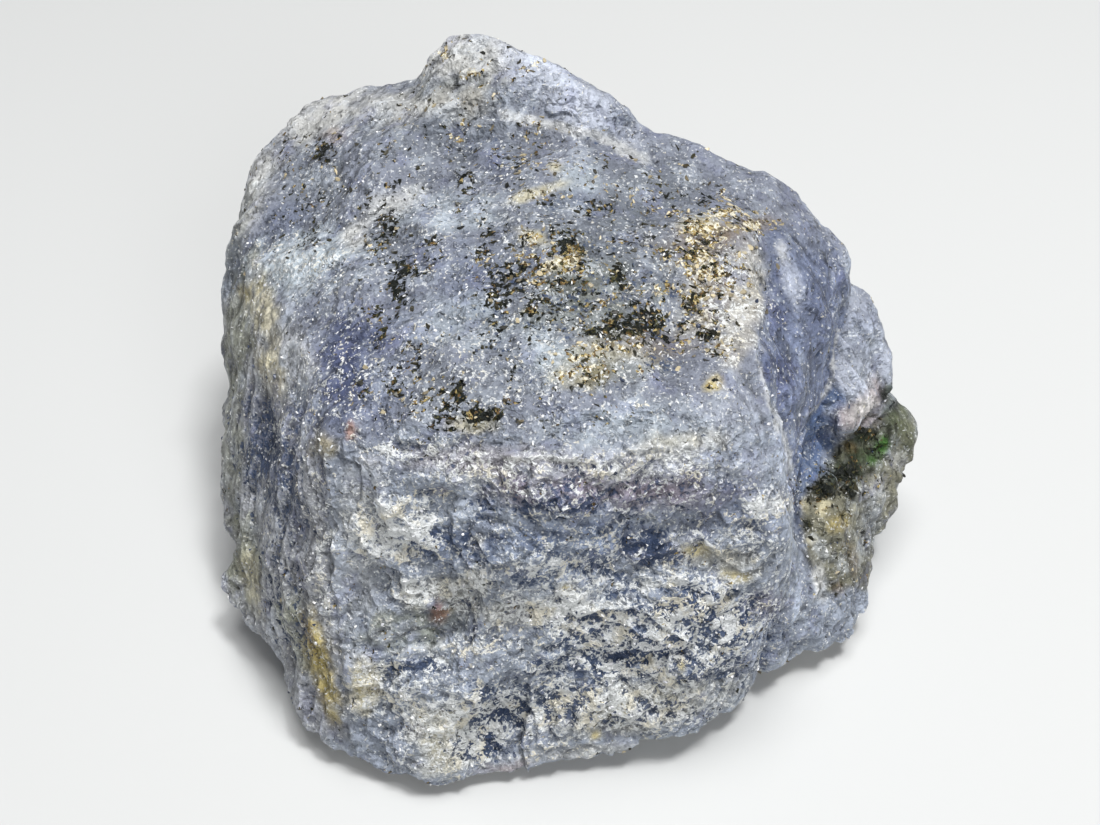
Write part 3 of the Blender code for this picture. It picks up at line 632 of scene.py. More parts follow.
class Survey:
    """Where each point of the skin lies in the photograph, and what is marked there."""

    def __init__(self, camera: PhotoCamera, points: np.ndarray, normals: np.ndarray) -> None:
        """Finds the pixel of each point.

        Args:
            camera: the photograph's camera.
            points: the skin's points in metres.
            normals: the skin's normals there.
        """
        self.mm = points / MM
        self.normals = normals
        across, down = camera.see(points)
        toward = camera.place() - points
        toward /= np.linalg.norm(toward, axis=1, keepdims=True)
        self.seen = ease((toward * normals).sum(axis=1), *SEEN)
        self.shift = ripples(self.mm, STRAY_ACROSS), ripples(self.mm, STRAY_DOWN)
        self.across, self.down = across + BASE_STRAY * self.shift[0], down + BASE_STRAY * self.shift[1]
        self.ragged = ripples(self.mm, RAGGED)

    def patch(self, mark: Patch) -> np.ndarray:
        """How far each point is inside a patch; a wide patch strays further from its outline.

        Args:
            mark: the patch.

        Returns:
            The patch's amount at its heart, 0 outside it.
        """
        angle = math.radians(mark.turn)
        stray = min(1.0, min(mark.size) / WIDE_PATCH) - BASE_STRAY
        aside = self.across + stray * self.shift[0] - mark.at[0]
        below = self.down + stray * self.shift[1] - mark.at[1]
        long = (aside * math.cos(angle) + below * math.sin(angle)) / mark.size[0]
        wide = (below * math.cos(angle) - aside * math.sin(angle)) / mark.size[1]
        rim = COVER_RIM if isinstance(mark.kind, Cover) else PIGMENT_RIM
        out = np.hypot(long, wide) + RAGGED_RIM * self.ragged
        return (1.0 - ease(out, *rim)) * self.seen * mark.amount

    def along(self, path: Sequence[Pixel], closed: bool = False) -> tuple[np.ndarray, np.ndarray]:
        """How far each point is from a path.

        Args:
            path: the path's corners in pixels.
            closed: whether the last corner joins the first.

        Returns:
            The distance in pixels, and the side: above 0 to the left as one walks the path.
        """
        ends = list(path[1:]) + ([path[0]] if closed else [])
        near = np.full(len(self.across), np.inf)
        side = np.zeros(len(self.across))
        for (u0, v0), (u1, v1) in zip(path, ends):
            run, fall = u1 - u0, v1 - v0
            part = ((self.across - u0) * run + (self.down - v0) * fall) / (run * run + fall * fall)
            part = np.clip(part, 0.0, 1.0)
            aside, below = self.across - u0 - part * run, self.down - v0 - part * fall
            far = np.hypot(aside, below)
            closer = far < near
            near = np.where(closer, far, near)
            side = np.where(closer, run * -below + fall * aside, side)
        return near, side

    def field(self, mark: Field) -> np.ndarray:
        """How far each point is inside a field.

        Args:
            mark: the field.

        Returns:
            The field's amount inside it, 0 outside it.
        """
        inside = np.zeros(len(self.across), bool)
        corners = mark.outline
        for (u0, v0), (u1, v1) in zip(corners, corners[1:] + corners[:1]):
            crosses = (v0 > self.down) != (v1 > self.down)
            if v0 != v1:
                edge = (u1 - u0) * (self.down - v0) / (v1 - v0) + u0
                inside ^= crosses & (self.across < edge)
        near, _ = self.along(corners, closed=True)
        return ease(np.where(inside, near, -near), -mark.soft, mark.soft) * self.seen * mark.amount

    def vein(self, mark: Vein) -> np.ndarray:
        """How far each point is inside a vein, 0 to its amount."""
        near, _ = self.along(mark.path)
        return (1.0 - ease(near, VEIN_RIM * mark.width, mark.width)) * self.seen * mark.amount

    def ledge(self, mark: Ledge) -> np.ndarray:
        """How far a ledge lifts the ground.

        Args:
            mark: the ledge.

        Returns:
            Its lift at each point, in millimetres.
        """
        near, side = self.along(mark.path)
        slope = 1.0 - ease(near, 0.0, mark.width)
        return mark.rise_mm * slope * ease(np.sign(side) * near, -LEDGE_RIM, LEDGE_RIM) * self.seen

    def strewn(self, drift: Drift) -> np.ndarray:
        """How much of something lies at each point out of the photograph's sight, 0 where it is in sight."""
        wave = ripple(self.mm, drift.size_mm, drift.shift) + drift.ragged * self.ragged
        return (1.0 - self.seen) * (drift.most * ease(wave, drift.start, drift.full) + drift.least)

    def cover(self, kind: Cover) -> np.ndarray:
        """How much of a cover lies on the stone, in and out of the photograph's sight.

        Args:
            kind: the cover.

        Returns:
            Its amount at each point, 0 to 1.
        """
        total = np.zeros(len(self.across))
        for mark in PATCHES:
            if mark.kind is kind:
                here = self.patch(mark)
                total = np.maximum(total, here) + OVERLAP * np.minimum(total, here)
        return np.clip(total + self.strewn(HIDDEN_COVERS[kind]), 0.0, 1.0)

    def tint(self) -> np.ndarray:
        """Lays the pigments over each other, in their order.

        Returns:
            The stone's colour at each point, before its grain: its own colours, with painted shade in a crevice and
            in the green corner's cavities.
        """
        top = ease(self.normals[:, 2], *FACES_UP)[:, None]
        shade = np.array(Pigment.PERIWINKLE.value) * top + np.array(Pigment.LAVENDER.value) * (1 - top)
        layers = [(pigment, self.strewn(drift)) for pigment, drift in HIDDEN_PIGMENTS.items()]
        layers += [(mark.kind, self.field(mark)) for mark in FIELDS]
        layers += [(mark.kind, self.patch(mark)) for mark in PATCHES if isinstance(mark.kind, Pigment)]
        layers += [(mark.kind, self.vein(mark)) for mark in VEINS]
        for pigment, amount in layers:
            shade = shade + (np.array(pigment.value) - shade) * amount[:, None]
        return shade * (1.0 + STREAK_SHADE * self.streaks())[:, None]

    def streaks(self) -> np.ndarray:
        """Draws the fine lines of the sheets' edges on the flanks.

        Returns:
            The lines at each point, above and below 0.
        """
        lain = self.mm @ SHEET_FRAME.T
        lines = sum(strength * ripple(lain / size, 1.0, shift) for strength, size, shift in STREAKS)
        return ease(np.abs(self.normals[:, 0]), *FACES_FLANK) * lines


@dataclass
class StoneSkin:
    """The stone's broken surface: the solid's shape with its sheets' edges, sugary grain and pits."""

    camera: PhotoCamera
    voxel: float = 0.00025
    weld: float = 1e-6
    wear: float = 0.5
    wear_rounds: int = 16
    triangles: int = 190_000
    sheet_normal: tuple[float, float, float] = (0.05, -SHEET_OUT, SHEET_UP)
    sheet_mm: float = 0.85
    sheet_step: Span = (0.3, 0.5)
    sheet_rise: float = 0.45
    rib_mm: float = 0.6
    rib_step: Span = (0.2, 0.8)
    rib_rise_mm: float = 0.24
    sugar_mm: float = 0.85
    lump_mm: float = 1.7
    lump_rise_mm: float = 0.38
    pit_depth_mm: float = 0.34
    foot_mm: float = 1.2
    crest_reach: int = 8
    crest_mm: float = 0.16

    def ground(self, solid: bpy.types.Object) -> bpy.types.Object:
        """A fine even mesh over the solid, with its facets smoothed away.

        Args:
            solid: the CAD node, which isn't changed.

        Returns:
            The new object.
        """
        bm = bmesh.new()
        bm.from_mesh(solid.data)
        bmesh.ops.remove_doubles(bm, verts=bm.verts, dist=self.weld)
        mesh = bpy.data.meshes.new("stone_skin")
        bm.to_mesh(mesh)
        bm.free()
        skin = bpy.data.objects.new("stone_skin", mesh)
        bpy.context.scene.collection.objects.link(skin)
        fine = skin.modifiers.new("fine", "REMESH")
        fine.mode, fine.voxel_size = "VOXEL", self.voxel
        worn = skin.modifiers.new("worn", "SMOOTH")
        worn.factor, worn.iterations = self.wear, self.wear_rounds
        settle(skin)
        return skin

    def terraces(self, sheets: np.ndarray) -> np.ndarray:
        """The steps of thick sheets.

        Args:
            sheets: how deep each point lies in the pile of sheets, in millimetres.

        Returns:
            The steps' height, in millimetres.
        """
        depth = sheets / self.sheet_mm
        across = depth - np.floor(depth)
        return (ease(across, *self.sheet_step) - across) * self.sheet_mm * self.sheet_rise

    def ribs(self, sheets: np.ndarray, place: np.ndarray) -> np.ndarray:
        """The edges of thin sheets, each of which stands out or in by its own amount.

        Args:
            sheets: how deep each point lies in the pile of sheets, in millimetres.
            place: the points, in millimetres.

        Returns:
            The edges' height, from about -0.5 to 0.5.
        """
        thin = sheets / self.rib_mm
        layer = np.floor(thin)
        own = own_number(np.stack((layer, layer + 1)) * HASH_TURNS[0]) - 0.5
        rib = own[0] + (own[1] - own[0]) * ease(thin - layer, *self.rib_step)
        return rib * (0.6 + 0.8 * ripple(place * (1, 0.3, 0.3), 2.0, 15.0))

    def relief(self, spots: Survey) -> np.ndarray:
        """How far the broken surface stands out or in.

        Args:
            spots: the skin's points and what is marked there.

        Returns:
            The height at each point, in millimetres.
        """
        place, facing = spots.mm, spots.normals
        front = ease(-facing[:, 1], *FACES_FRONT)
        flank = ease(np.abs(facing[:, 0]), *FACES_SIDE)
        sheets = place @ (np.array(self.sheet_normal) / np.linalg.norm(self.sheet_normal))
        for wave in SHEET_SWELLS:
            sheets = sheets + ripples(place, (wave,))
        heart, own = grains(place, self.sugar_mm, 1.0)
        height = ripples(place, SWELLS)
        height += front * self.terraces(sheets) + self.rib_rise_mm * flank * self.ribs(sheets, place)
        broken = np.clip(0.40 * spots.cover(Cover.FROST) + 0.35 * front + 0.08 * flank, 0.05, 1.0)
        height += broken * sum(wave.height * crags(place, wave.size_mm, wave.shift) for wave in CRAGS)
        height += (0.04 + 0.17 * front) * (own - 0.5 + 0.6 * np.minimum(heart, 0.5))
        height -= self.pit_depth_mm * spots.cover(Cover.PITS) * ease(heart, 0.1, 0.5) * ease(own, 0.35, 0.6)
        coarse, own_lump = grains(place, self.lump_mm, 6.0)
        lumps = 1.4 * np.sqrt(np.minimum(coarse, 0.6)) + 0.9 * (own_lump - 0.7)
        height += self.lump_rise_mm * spots.cover(Cover.LUMPS) * lumps
        height += sum(spots.ledge(mark) for mark in LEDGES)
        return height * ease(place[:, 2], 0.0, self.foot_mm)

    def build(self, solid: bpy.types.Object) -> bpy.types.Object:
        """Makes the skin with its relief, and writes its marks on it.

        Args:
            solid: the CAD node that the skin stands for.

        Returns:
            The skin.
        """
        skin = self.ground(solid)
        points, normals = read(skin.data, "co"), read(skin.data, "normal")
        spots = Survey(self.camera, points, normals)
        points = points + normals * (self.relief(spots) * MM)[:, None]
        write(skin.data, keep_in(points))
        thin = skin.modifiers.new("thin", "DECIMATE")
        thin.ratio = min(1.0, self.triangles / (2 * len(skin.data.polygons)))
        settle(skin)
        LOG.info("skin: %d points, %d faces", len(skin.data.vertices), len(skin.data.polygons))
        self.mark(skin)
        return skin

    def mark(self, skin: bpy.types.Object) -> None:
        """Writes the stone's colour and its covers on the skin's points.

        Args:
            skin: the finished skin.
        """
        mesh = skin.data
        spots = Survey(self.camera, read(mesh, "co"), read(mesh, "normal"))
        shade = mesh.attributes.new("tint", "FLOAT_COLOR", "POINT")
        shade.data.foreach_set("color", np.column_stack((spots.tint(), np.ones(len(spots.mm)))).ravel())
        layers = {kind.value: spots.cover(kind) for kind in SHOWN_COVERS}
        # the shader paints light on these crests and shade in the hollows between them
        layers["crest"] = self.crests(mesh)
        for name, values in layers.items():
            mesh.attributes.new(name, "FLOAT", "POINT").data.foreach_set("value", values)

    def crests(self, mesh: bpy.types.Mesh) -> np.ndarray:
        """How far each point stands out of its own neighbourhood.

        Args:
            mesh: the skin's mesh.

        Returns:
            0 in a hollow to 1 on a crest, for each point.
        """
        points, normals = read(mesh, "co"), read(mesh, "normal")
        ends = np.zeros(len(mesh.edges) * 2, np.int32)
        mesh.edges.foreach_get("vertices", ends)
        first, second = ends.reshape(-1, 2).T
        count = np.bincount(ends, minlength=len(points))[:, None]
        mean = points.copy()
        for _ in range(self.crest_reach):
            total = np.zeros_like(mean)
            for axis in range(3):
                total[:, axis] = (np.bincount(first, mean[second, axis], len(points))
                                  + np.bincount(second, mean[first, axis], len(points)))
            mean = total / count
        stands = ((points - mean) * normals).sum(axis=1)
        return ease(stands / MM, -self.crest_mm, self.crest_mm)


def read(mesh: bpy.types.Mesh, what: str) -> np.ndarray:
    """Reads a mesh's points or normals.

    Args:
        mesh: the mesh.
        what: "co" for its points, "normal" for its normals.

    Returns:
        The points or normals, one a row.
    """
    values = np.zeros(len(mesh.vertices) * 3, np.float32)
    mesh.vertices.foreach_get(what, values)
    return values.reshape(-1, 3).astype(float)


def write(mesh: bpy.types.Mesh, points: np.ndarray) -> None:
    """Moves a mesh's points to new places."""
    mesh.vertices.foreach_set("co", points.astype(np.float32).ravel())
    mesh.update()


def keep_in(points: np.ndarray) -> np.ndarray:
    """Points held inside the CAD node's own box."""
    low, high = (np.array(corner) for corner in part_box(NODE))
    return np.clip(points, low, high)


def settle(obj: bpy.types.Object) -> None:
    """Makes the shape that its modifiers give an object its own mesh, and removes them.

    Args:
        obj: the object.
    """
    graph = bpy.context.evaluated_depsgraph_get()
    mesh = bpy.data.meshes.new_from_object(obj.evaluated_get(graph))
    obj.modifiers.clear()
    obj.data = mesh


@dataclass
class Wire:
    """A shader socket that takes arithmetic: each sign adds its Math node."""

    bench: "Bench"
    socket: bpy.types.NodeSocket

    def maths(self, operation: str, *values: "Wire | float") -> "Wire":
        """Adds one Math node.

        Args:
            operation: the Math node's operation.
            values: its inputs in order.

        Returns:
            Its output.
        """
        settings = {"operation": operation}
        return self.bench.node("ShaderNodeMath", settings, dict(enumerate(values))).out(0)

    def __add__(self, other: "Wire | float") -> "Wire":
        """self + other."""
        return self.maths("ADD", self, other)

    def __radd__(self, other: float) -> "Wire":
        """other + self."""
        return self.maths("ADD", other, self)

    def __sub__(self, other: "Wire | float") -> "Wire":
        """self - other."""
        return self.maths("SUBTRACT", self, other)

    def __rsub__(self, other: float) -> "Wire":
        """other - self."""
        return self.maths("SUBTRACT", other, self)

    def __mul__(self, other: "Wire | float") -> "Wire":
        """self * other."""
        return self.maths("MULTIPLY", self, other)

    def __rmul__(self, other: float) -> "Wire":
        """other * self."""
        return self.maths("MULTIPLY", other, self)

    def or_more(self, other: "Wire | float") -> "Wire":
        """The larger of the two."""
        return self.maths("MAXIMUM", self, other)

    def within(self, low: float, high: float) -> "Wire":
        """0 below low, 1 above high, and a smooth rise between them."""
        settings = {"interpolation_type": "SMOOTHSTEP"}
        values = {"Value": self, "From Min": low, "From Max": high}
        return self.bench.node("ShaderNodeMapRange", settings, values).out("Result")


@dataclass
class Placed:
    """A node on a bench."""

    bench: "Bench"
    node: bpy.types.Node

    def out(self, name: str | int) -> Wire:
        """One of its outputs."""
        return Wire(self.bench, self.node.outputs[name])


class Bench:
    """A new node material and what is wired into its shader."""

    def __init__(self, name: str) -> None:
        """Opens a material with a plain shader."""
        self.material = bpy.data.materials.new(name)
        self.material.use_nodes = True
        self.tree = self.material.node_tree
        self.shader = self.tree.nodes["Principled BSDF"]

    def node(self, kind: str, settings: dict | None = None, values: dict | None = None) -> Placed:
        """Adds a node.

        Args:
            kind: the node's type.
            settings: what is set on the node itself, first.
            values: numbers, colours or wires for its sockets, by name or place.

        Returns:
            The node.
        """
        made = self.tree.nodes.new(kind)
        for name, value in (settings or {}).items():
            setattr(made, name, value)
        for name, value in (values or {}).items():
            self.join(made.inputs[name], value)
        return Placed(self, made)

    def join(self, socket: bpy.types.NodeSocket, value: Wire | float | Sequence[float]) -> None:
        """Wires a socket, or sets it.

        Args:
            socket: the socket.
            value: a wire, or the number or colour to set.
        """
        if isinstance(value, Wire):
            self.tree.links.new(value.socket, socket)
        else:
            socket.default_value = value

    def shade(self, values: dict) -> bpy.types.Material:
        """Wires or sets the shader's sockets.

        Args:
            values: numbers, colours or wires, by the socket's name.

        Returns:
            The material.
        """
        for name, value in values.items():
            self.join(self.shader.inputs[name], value)
        return self.material

    def blend(self, amount: Wire | float, first: Wire | Sequence[float], second: Wire | Sequence[float]) -> Wire:
        """Mixes two colours.

        Args:
            amount: how much of the second colour, 0 to 1.
            first, second: the colours.

        Returns:
            The mixture.
        """
        made = self.node("ShaderNodeMix", {"data_type": "RGBA"}).node
        for name, value in (("Factor_Float", amount), ("A_Color", first), ("B_Color", second)):
            self.join(next(s for s in made.inputs if s.identifier == name), value)
        return Wire(self, next(s for s in made.outputs if s.identifier == "Result_Color"))

    def lit(self, colour: Wire, amount: Wire) -> Wire:
        """A colour made lighter or darker: each part times amount."""
        return self.vector("SCALE", {0: colour, "Scale": amount})

    def spot(self) -> Wire:
        """The place on the object."""
        return self.node("ShaderNodeTexCoord").out("Object")

    def mark(self, name: str, output: str = "Fac") -> Wire:
        """What is written on the mesh under a name."""
        return self.node("ShaderNodeAttribute", {"attribute_name": name}).out(output)

    def cloud(self, size_mm: float, detail: float = 2.0, rough: float = 0.5, curl: float = 0.0,
              output: str = "Fac") -> Wire:
        """A soft random pattern, around 0.5.

        Args:
            size_mm: about how large its clouds are.
            detail, rough: how many finer clouds lie over them, and how strong.
            curl: how far it is swirled.
            output: the noise's number, or its colour.

        Returns:
            The pattern.
        """
        values = {"Vector": self.spot(), "Scale": 1.0 / (size_mm * MM), "Detail": detail, "Roughness": rough,
                  "Distortion": curl}
        return self.node("ShaderNodeTexNoise", None, values).out(output)

    def sugar(self, size_mm: float, spot: Wire, feature: str = "F1", output: str = "Color") -> Wire:
        """Packed grains.

        Args:
            size_mm: the size of a grain.
            spot: where they are read.
            feature, output: the Voronoi pattern's feature and output, by default each grain's own colour.

        Returns:
            The output.
        """
        values = {"Vector": spot, "Scale": 1.0 / (size_mm * MM)}
        return self.node("ShaderNodeTexVoronoi", {"feature": feature}, values).out(output)

    def vector(self, operation: str, values: dict) -> Wire:
        """Adds one Vector Math node."""
        return self.node("ShaderNodeVectorMath", {"operation": operation}, values).out("Vector")

    def moved(self, spot: Wire, colour: Wire, reach_mm: float) -> Wire:
        """A place shaken by a random colour, by up to reach_mm."""
        shake = self.vector("SUBTRACT", {0: colour, 1: MID_GREY})
        return self.vector("ADD", {0: spot, 1: self.vector("SCALE", {0: shake, "Scale": 2.0 * reach_mm * MM})})

    def facets(self, colour: Wire, tilt: float) -> Wire:
        """Tilts the surface another way in each grain.

        Args:
            colour: each grain's own colour.
            tilt: how far.

        Returns:
            The normal.
        """
        away = self.vector("SUBTRACT", {0: colour, 1: MID_GREY})
        lean = self.vector("SCALE", {0: away, "Scale": 2.0 * tilt})
        normal = self.node("ShaderNodeNewGeometry").out("Normal")
        return self.vector("NORMALIZE", {0: self.vector("ADD", {0: normal, 1: lean})})

    def part(self, colour: Wire, which: int) -> Wire:
        """The red, green or blue of a colour: 0, 1 or 2."""
        return self.node("ShaderNodeSeparateColor", None, {"Color": colour}).out(which)

    def bump(self, height: Wire, strength: float, depth_mm: float, normal: Wire) -> Wire:
        """The normal of a surface with that height on it."""
        values = {"Height": height, "Strength": strength, "Distance": depth_mm * MM, "Normal": normal}
        return self.node("ShaderNodeBump", None, values).out("Normal")


@dataclass(frozen=True)
class StoneFinish:
    """Sugary violet-grey stone: coloured by its marks, frosted on its rims, blue in its pores, with mica specks;
    with painted glints, painted light on its crests and painted shade in its hollows.
    """

    grain_mm: float = 0.36
    fine_mm: float = 0.15
    crystal_mm: float = 0.85
    small_crystal_mm: float = 0.42
    clump_mm: float = 0.75
    grit_mm: float = 0.28
    drift_mm: float = 2.4
    speck_mm: float = 0.46
    grain_tilt: float = 0.5
    bump_mm: float = 0.12
    gloss: float = 0.25
    white: Colour = (0.80, 0.82, 0.82, 1.0)
    cream: Colour = (0.78, 0.74, 0.62, 1.0)
    bloom: Colour = (0.50, 0.55, 0.62, 1.0)
    violet: Colour = (0.17, 0.19, 0.36, 1.0)
    navy: Colour = (0.035, 0.058, 0.120, 1.0)
    black: Colour = (0.006, 0.008, 0.006, 1.0)
    olive: Colour = (0.060, 0.058, 0.022, 1.0)
    brown: Colour = (0.13, 0.075, 0.028, 1.0)
    gold: Colour = (0.40, 0.31, 0.13, 1.0)
    straw: Colour = (0.80, 0.76, 0.62, 1.0)

    def material(self) -> bpy.types.Material:
        """Mixes the marks' colours, the grain, the pores, the frost, the specks, the painted glints and the painted
        light and shade of the relief.

        Returns:
            The material.
        """
        bench = Bench("sugary_iolite")
        frost, dark = bench.mark(Cover.FROST.value), bench.mark(Cover.DARK.value)
        black, gold = bench.mark(Cover.BLACK_MICA.value), bench.mark(Cover.GOLD_MICA.value)
        crest, flecked = bench.mark("crest") - 0.5, black.or_more(gold)
        busy = 0.34 + 0.8 * frost + 0.7 * dark + 0.3 * flecked
        ragged = bench.moved(bench.spot(), bench.cloud(0.5, 2.0, output="Color"), 0.22)
        grain, fine = bench.sugar(self.grain_mm, ragged), bench.sugar(self.fine_mm, ragged)
        edges = {"feature": "DISTANCE_TO_EDGE", "output": "Distance"}
        rim = 1.0 - bench.sugar(self.crystal_mm, ragged, **edges).within(0.0, 0.16)
        small_rim = 1.0 - bench.sugar(self.small_crystal_mm, ragged, **edges).within(0.0, 0.20)
        drift = bench.cloud(self.drift_mm, 4.0, 0.62, output="Color")
        grit = bench.cloud(self.grit_mm, 3.0, 0.62) - 0.5
        clump = (bench.part(bench.sugar(self.clump_mm, ragged), 0) - 0.5) * (frost + dark)

        # the stone's own colour, with its bloom, its violet clouds and its grain, and painted light and shade:
        # lighter on the relief's crests, darker in its hollows
        shade = (0.94 + busy * (0.40 * bench.part(grain, 0) + 0.30 * bench.part(fine, 0) - 0.33)
                 + 0.9 * (bench.part(drift, 0) - 0.5) + (0.3 + busy) * grit + 0.3 * crest)
        tint = bench.mark("tint", "Color")
        pale = bench.part(tint, 2).within(0.02, 0.12)
        colour = bench.blend(bench.part(drift, 1).within(0.50, 0.66) * 0.34 * pale, tint, self.bloom)
        violet = bench.part(drift, 2).within(0.52, 0.66) * 0.26 * pale
        colour = bench.lit(bench.blend(violet, colour, self.violet), shade)

        # blue pores, deepened by painted shade in the relief's hollows; frosted grains, whiter on the relief's
        # crests; and painted glints
        pores_and_hollow_shade = (1.10 * dark - 0.34 * rim - 0.22 * small_rim - 0.5 * crest + 1.3 * grit + 0.7 * clump
                  + 0.24 * bench.part(grain, 2)).within(0.34, 0.58)
        colour = bench.blend(pores_and_hollow_shade * 0.85, colour, self.navy)
        frosted = (0.12 + 1.0 * frost + 0.26 * rim + 0.22 * small_rim + 0.34 * bench.part(fine, 1) + 1.8 * grit
                   - 0.40 * bench.part(grain, 2) - 0.7 * clump + 0.5 * crest * (frost + 0.2)).within(0.68, 0.98)
        white = bench.blend(bench.cloud(1.9, 3.0, 0.6).within(0.48, 0.64), self.white, self.cream)
        colour = bench.blend(frosted * 0.90 * pale, colour, white)
        # painted glints: sparse white specks in the colour that stand for light caught by tiny facets
        painted_glint = (bench.part(fine, 2) + 0.5 * bench.part(drift, 1)).within(1.18, 1.24)
        colour = bench.blend(painted_glint * 0.5 * pale, colour, self.white)

        # mica specks, each of its own hue, in an olive halo
        speck = 0.28 * flecked + bench.cloud(self.speck_mm, 3.0, 0.62, 0.6) + 0.35 * (bench.part(drift, 2) - 0.5)
        hue = (0.05 + 0.50 * bench.part(grain, 1) + 0.35 * bench.part(fine, 1)
               + 0.8 * (bench.part(drift, 0) - 0.5) + 0.45 * gold - 0.25 * black)
        mica: Wire | Colour = self.black
        for start, full, pigment in ((0.46, 0.52, self.olive), (0.58, 0.62, self.brown),
                                     (0.66, 0.72, self.gold), (0.80, 0.86, self.straw)):
            mica = bench.blend(hue.within(start, full), mica, pigment)
        colour = bench.blend(speck.within(0.63, 0.70) * 0.28, colour, self.olive)
        colour = bench.blend(speck.within(0.68, 0.70), colour, mica)

        height = bench.part(fine, 0) + small_rim * (0.3 + 1.2 * frost) + 4.0 * grit
        return bench.shade({
            "Base Color": colour,
            "Roughness": 0.24 + 0.40 * bench.part(grain, 1),
            "Normal": bench.bump(height, 0.6, self.bump_mm, bench.facets(grain, self.grain_tilt)),
            "Specular IOR Level": self.gloss,
        })


@dataclass(frozen=True)
class ChipFinish:
    """Small grains set in the stone: two colours, of which each grain takes its own mixture."""

    name: str
    first: Colour
    second: Colour
    roughness: float
    metallic: float = 0.0

    def material(self) -> bpy.types.Material:
        """Mixes each grain's colour.

        Returns:
            The material.
        """
        bench = Bench(self.name)
        tone = bench.mark("tone")
        colour = bench.blend(tone, (*self.first, 1.0), (*self.second, 1.0))
        colour = bench.lit(colour, 0.75 + 0.5 * bench.cloud(0.2, 2.0))
        return bench.shade({
            "Base Color": colour,
            "Roughness": self.roughness * (0.7 + 0.6 * bench.cloud(0.3)),
            "Metallic": self.metallic,
        })


class Shape(Enum):
    """What a chip is cut from."""

    PLATE = "GeometryNodeMeshCylinder"
    CRYSTAL = "GeometryNodeMeshIcoSphere"


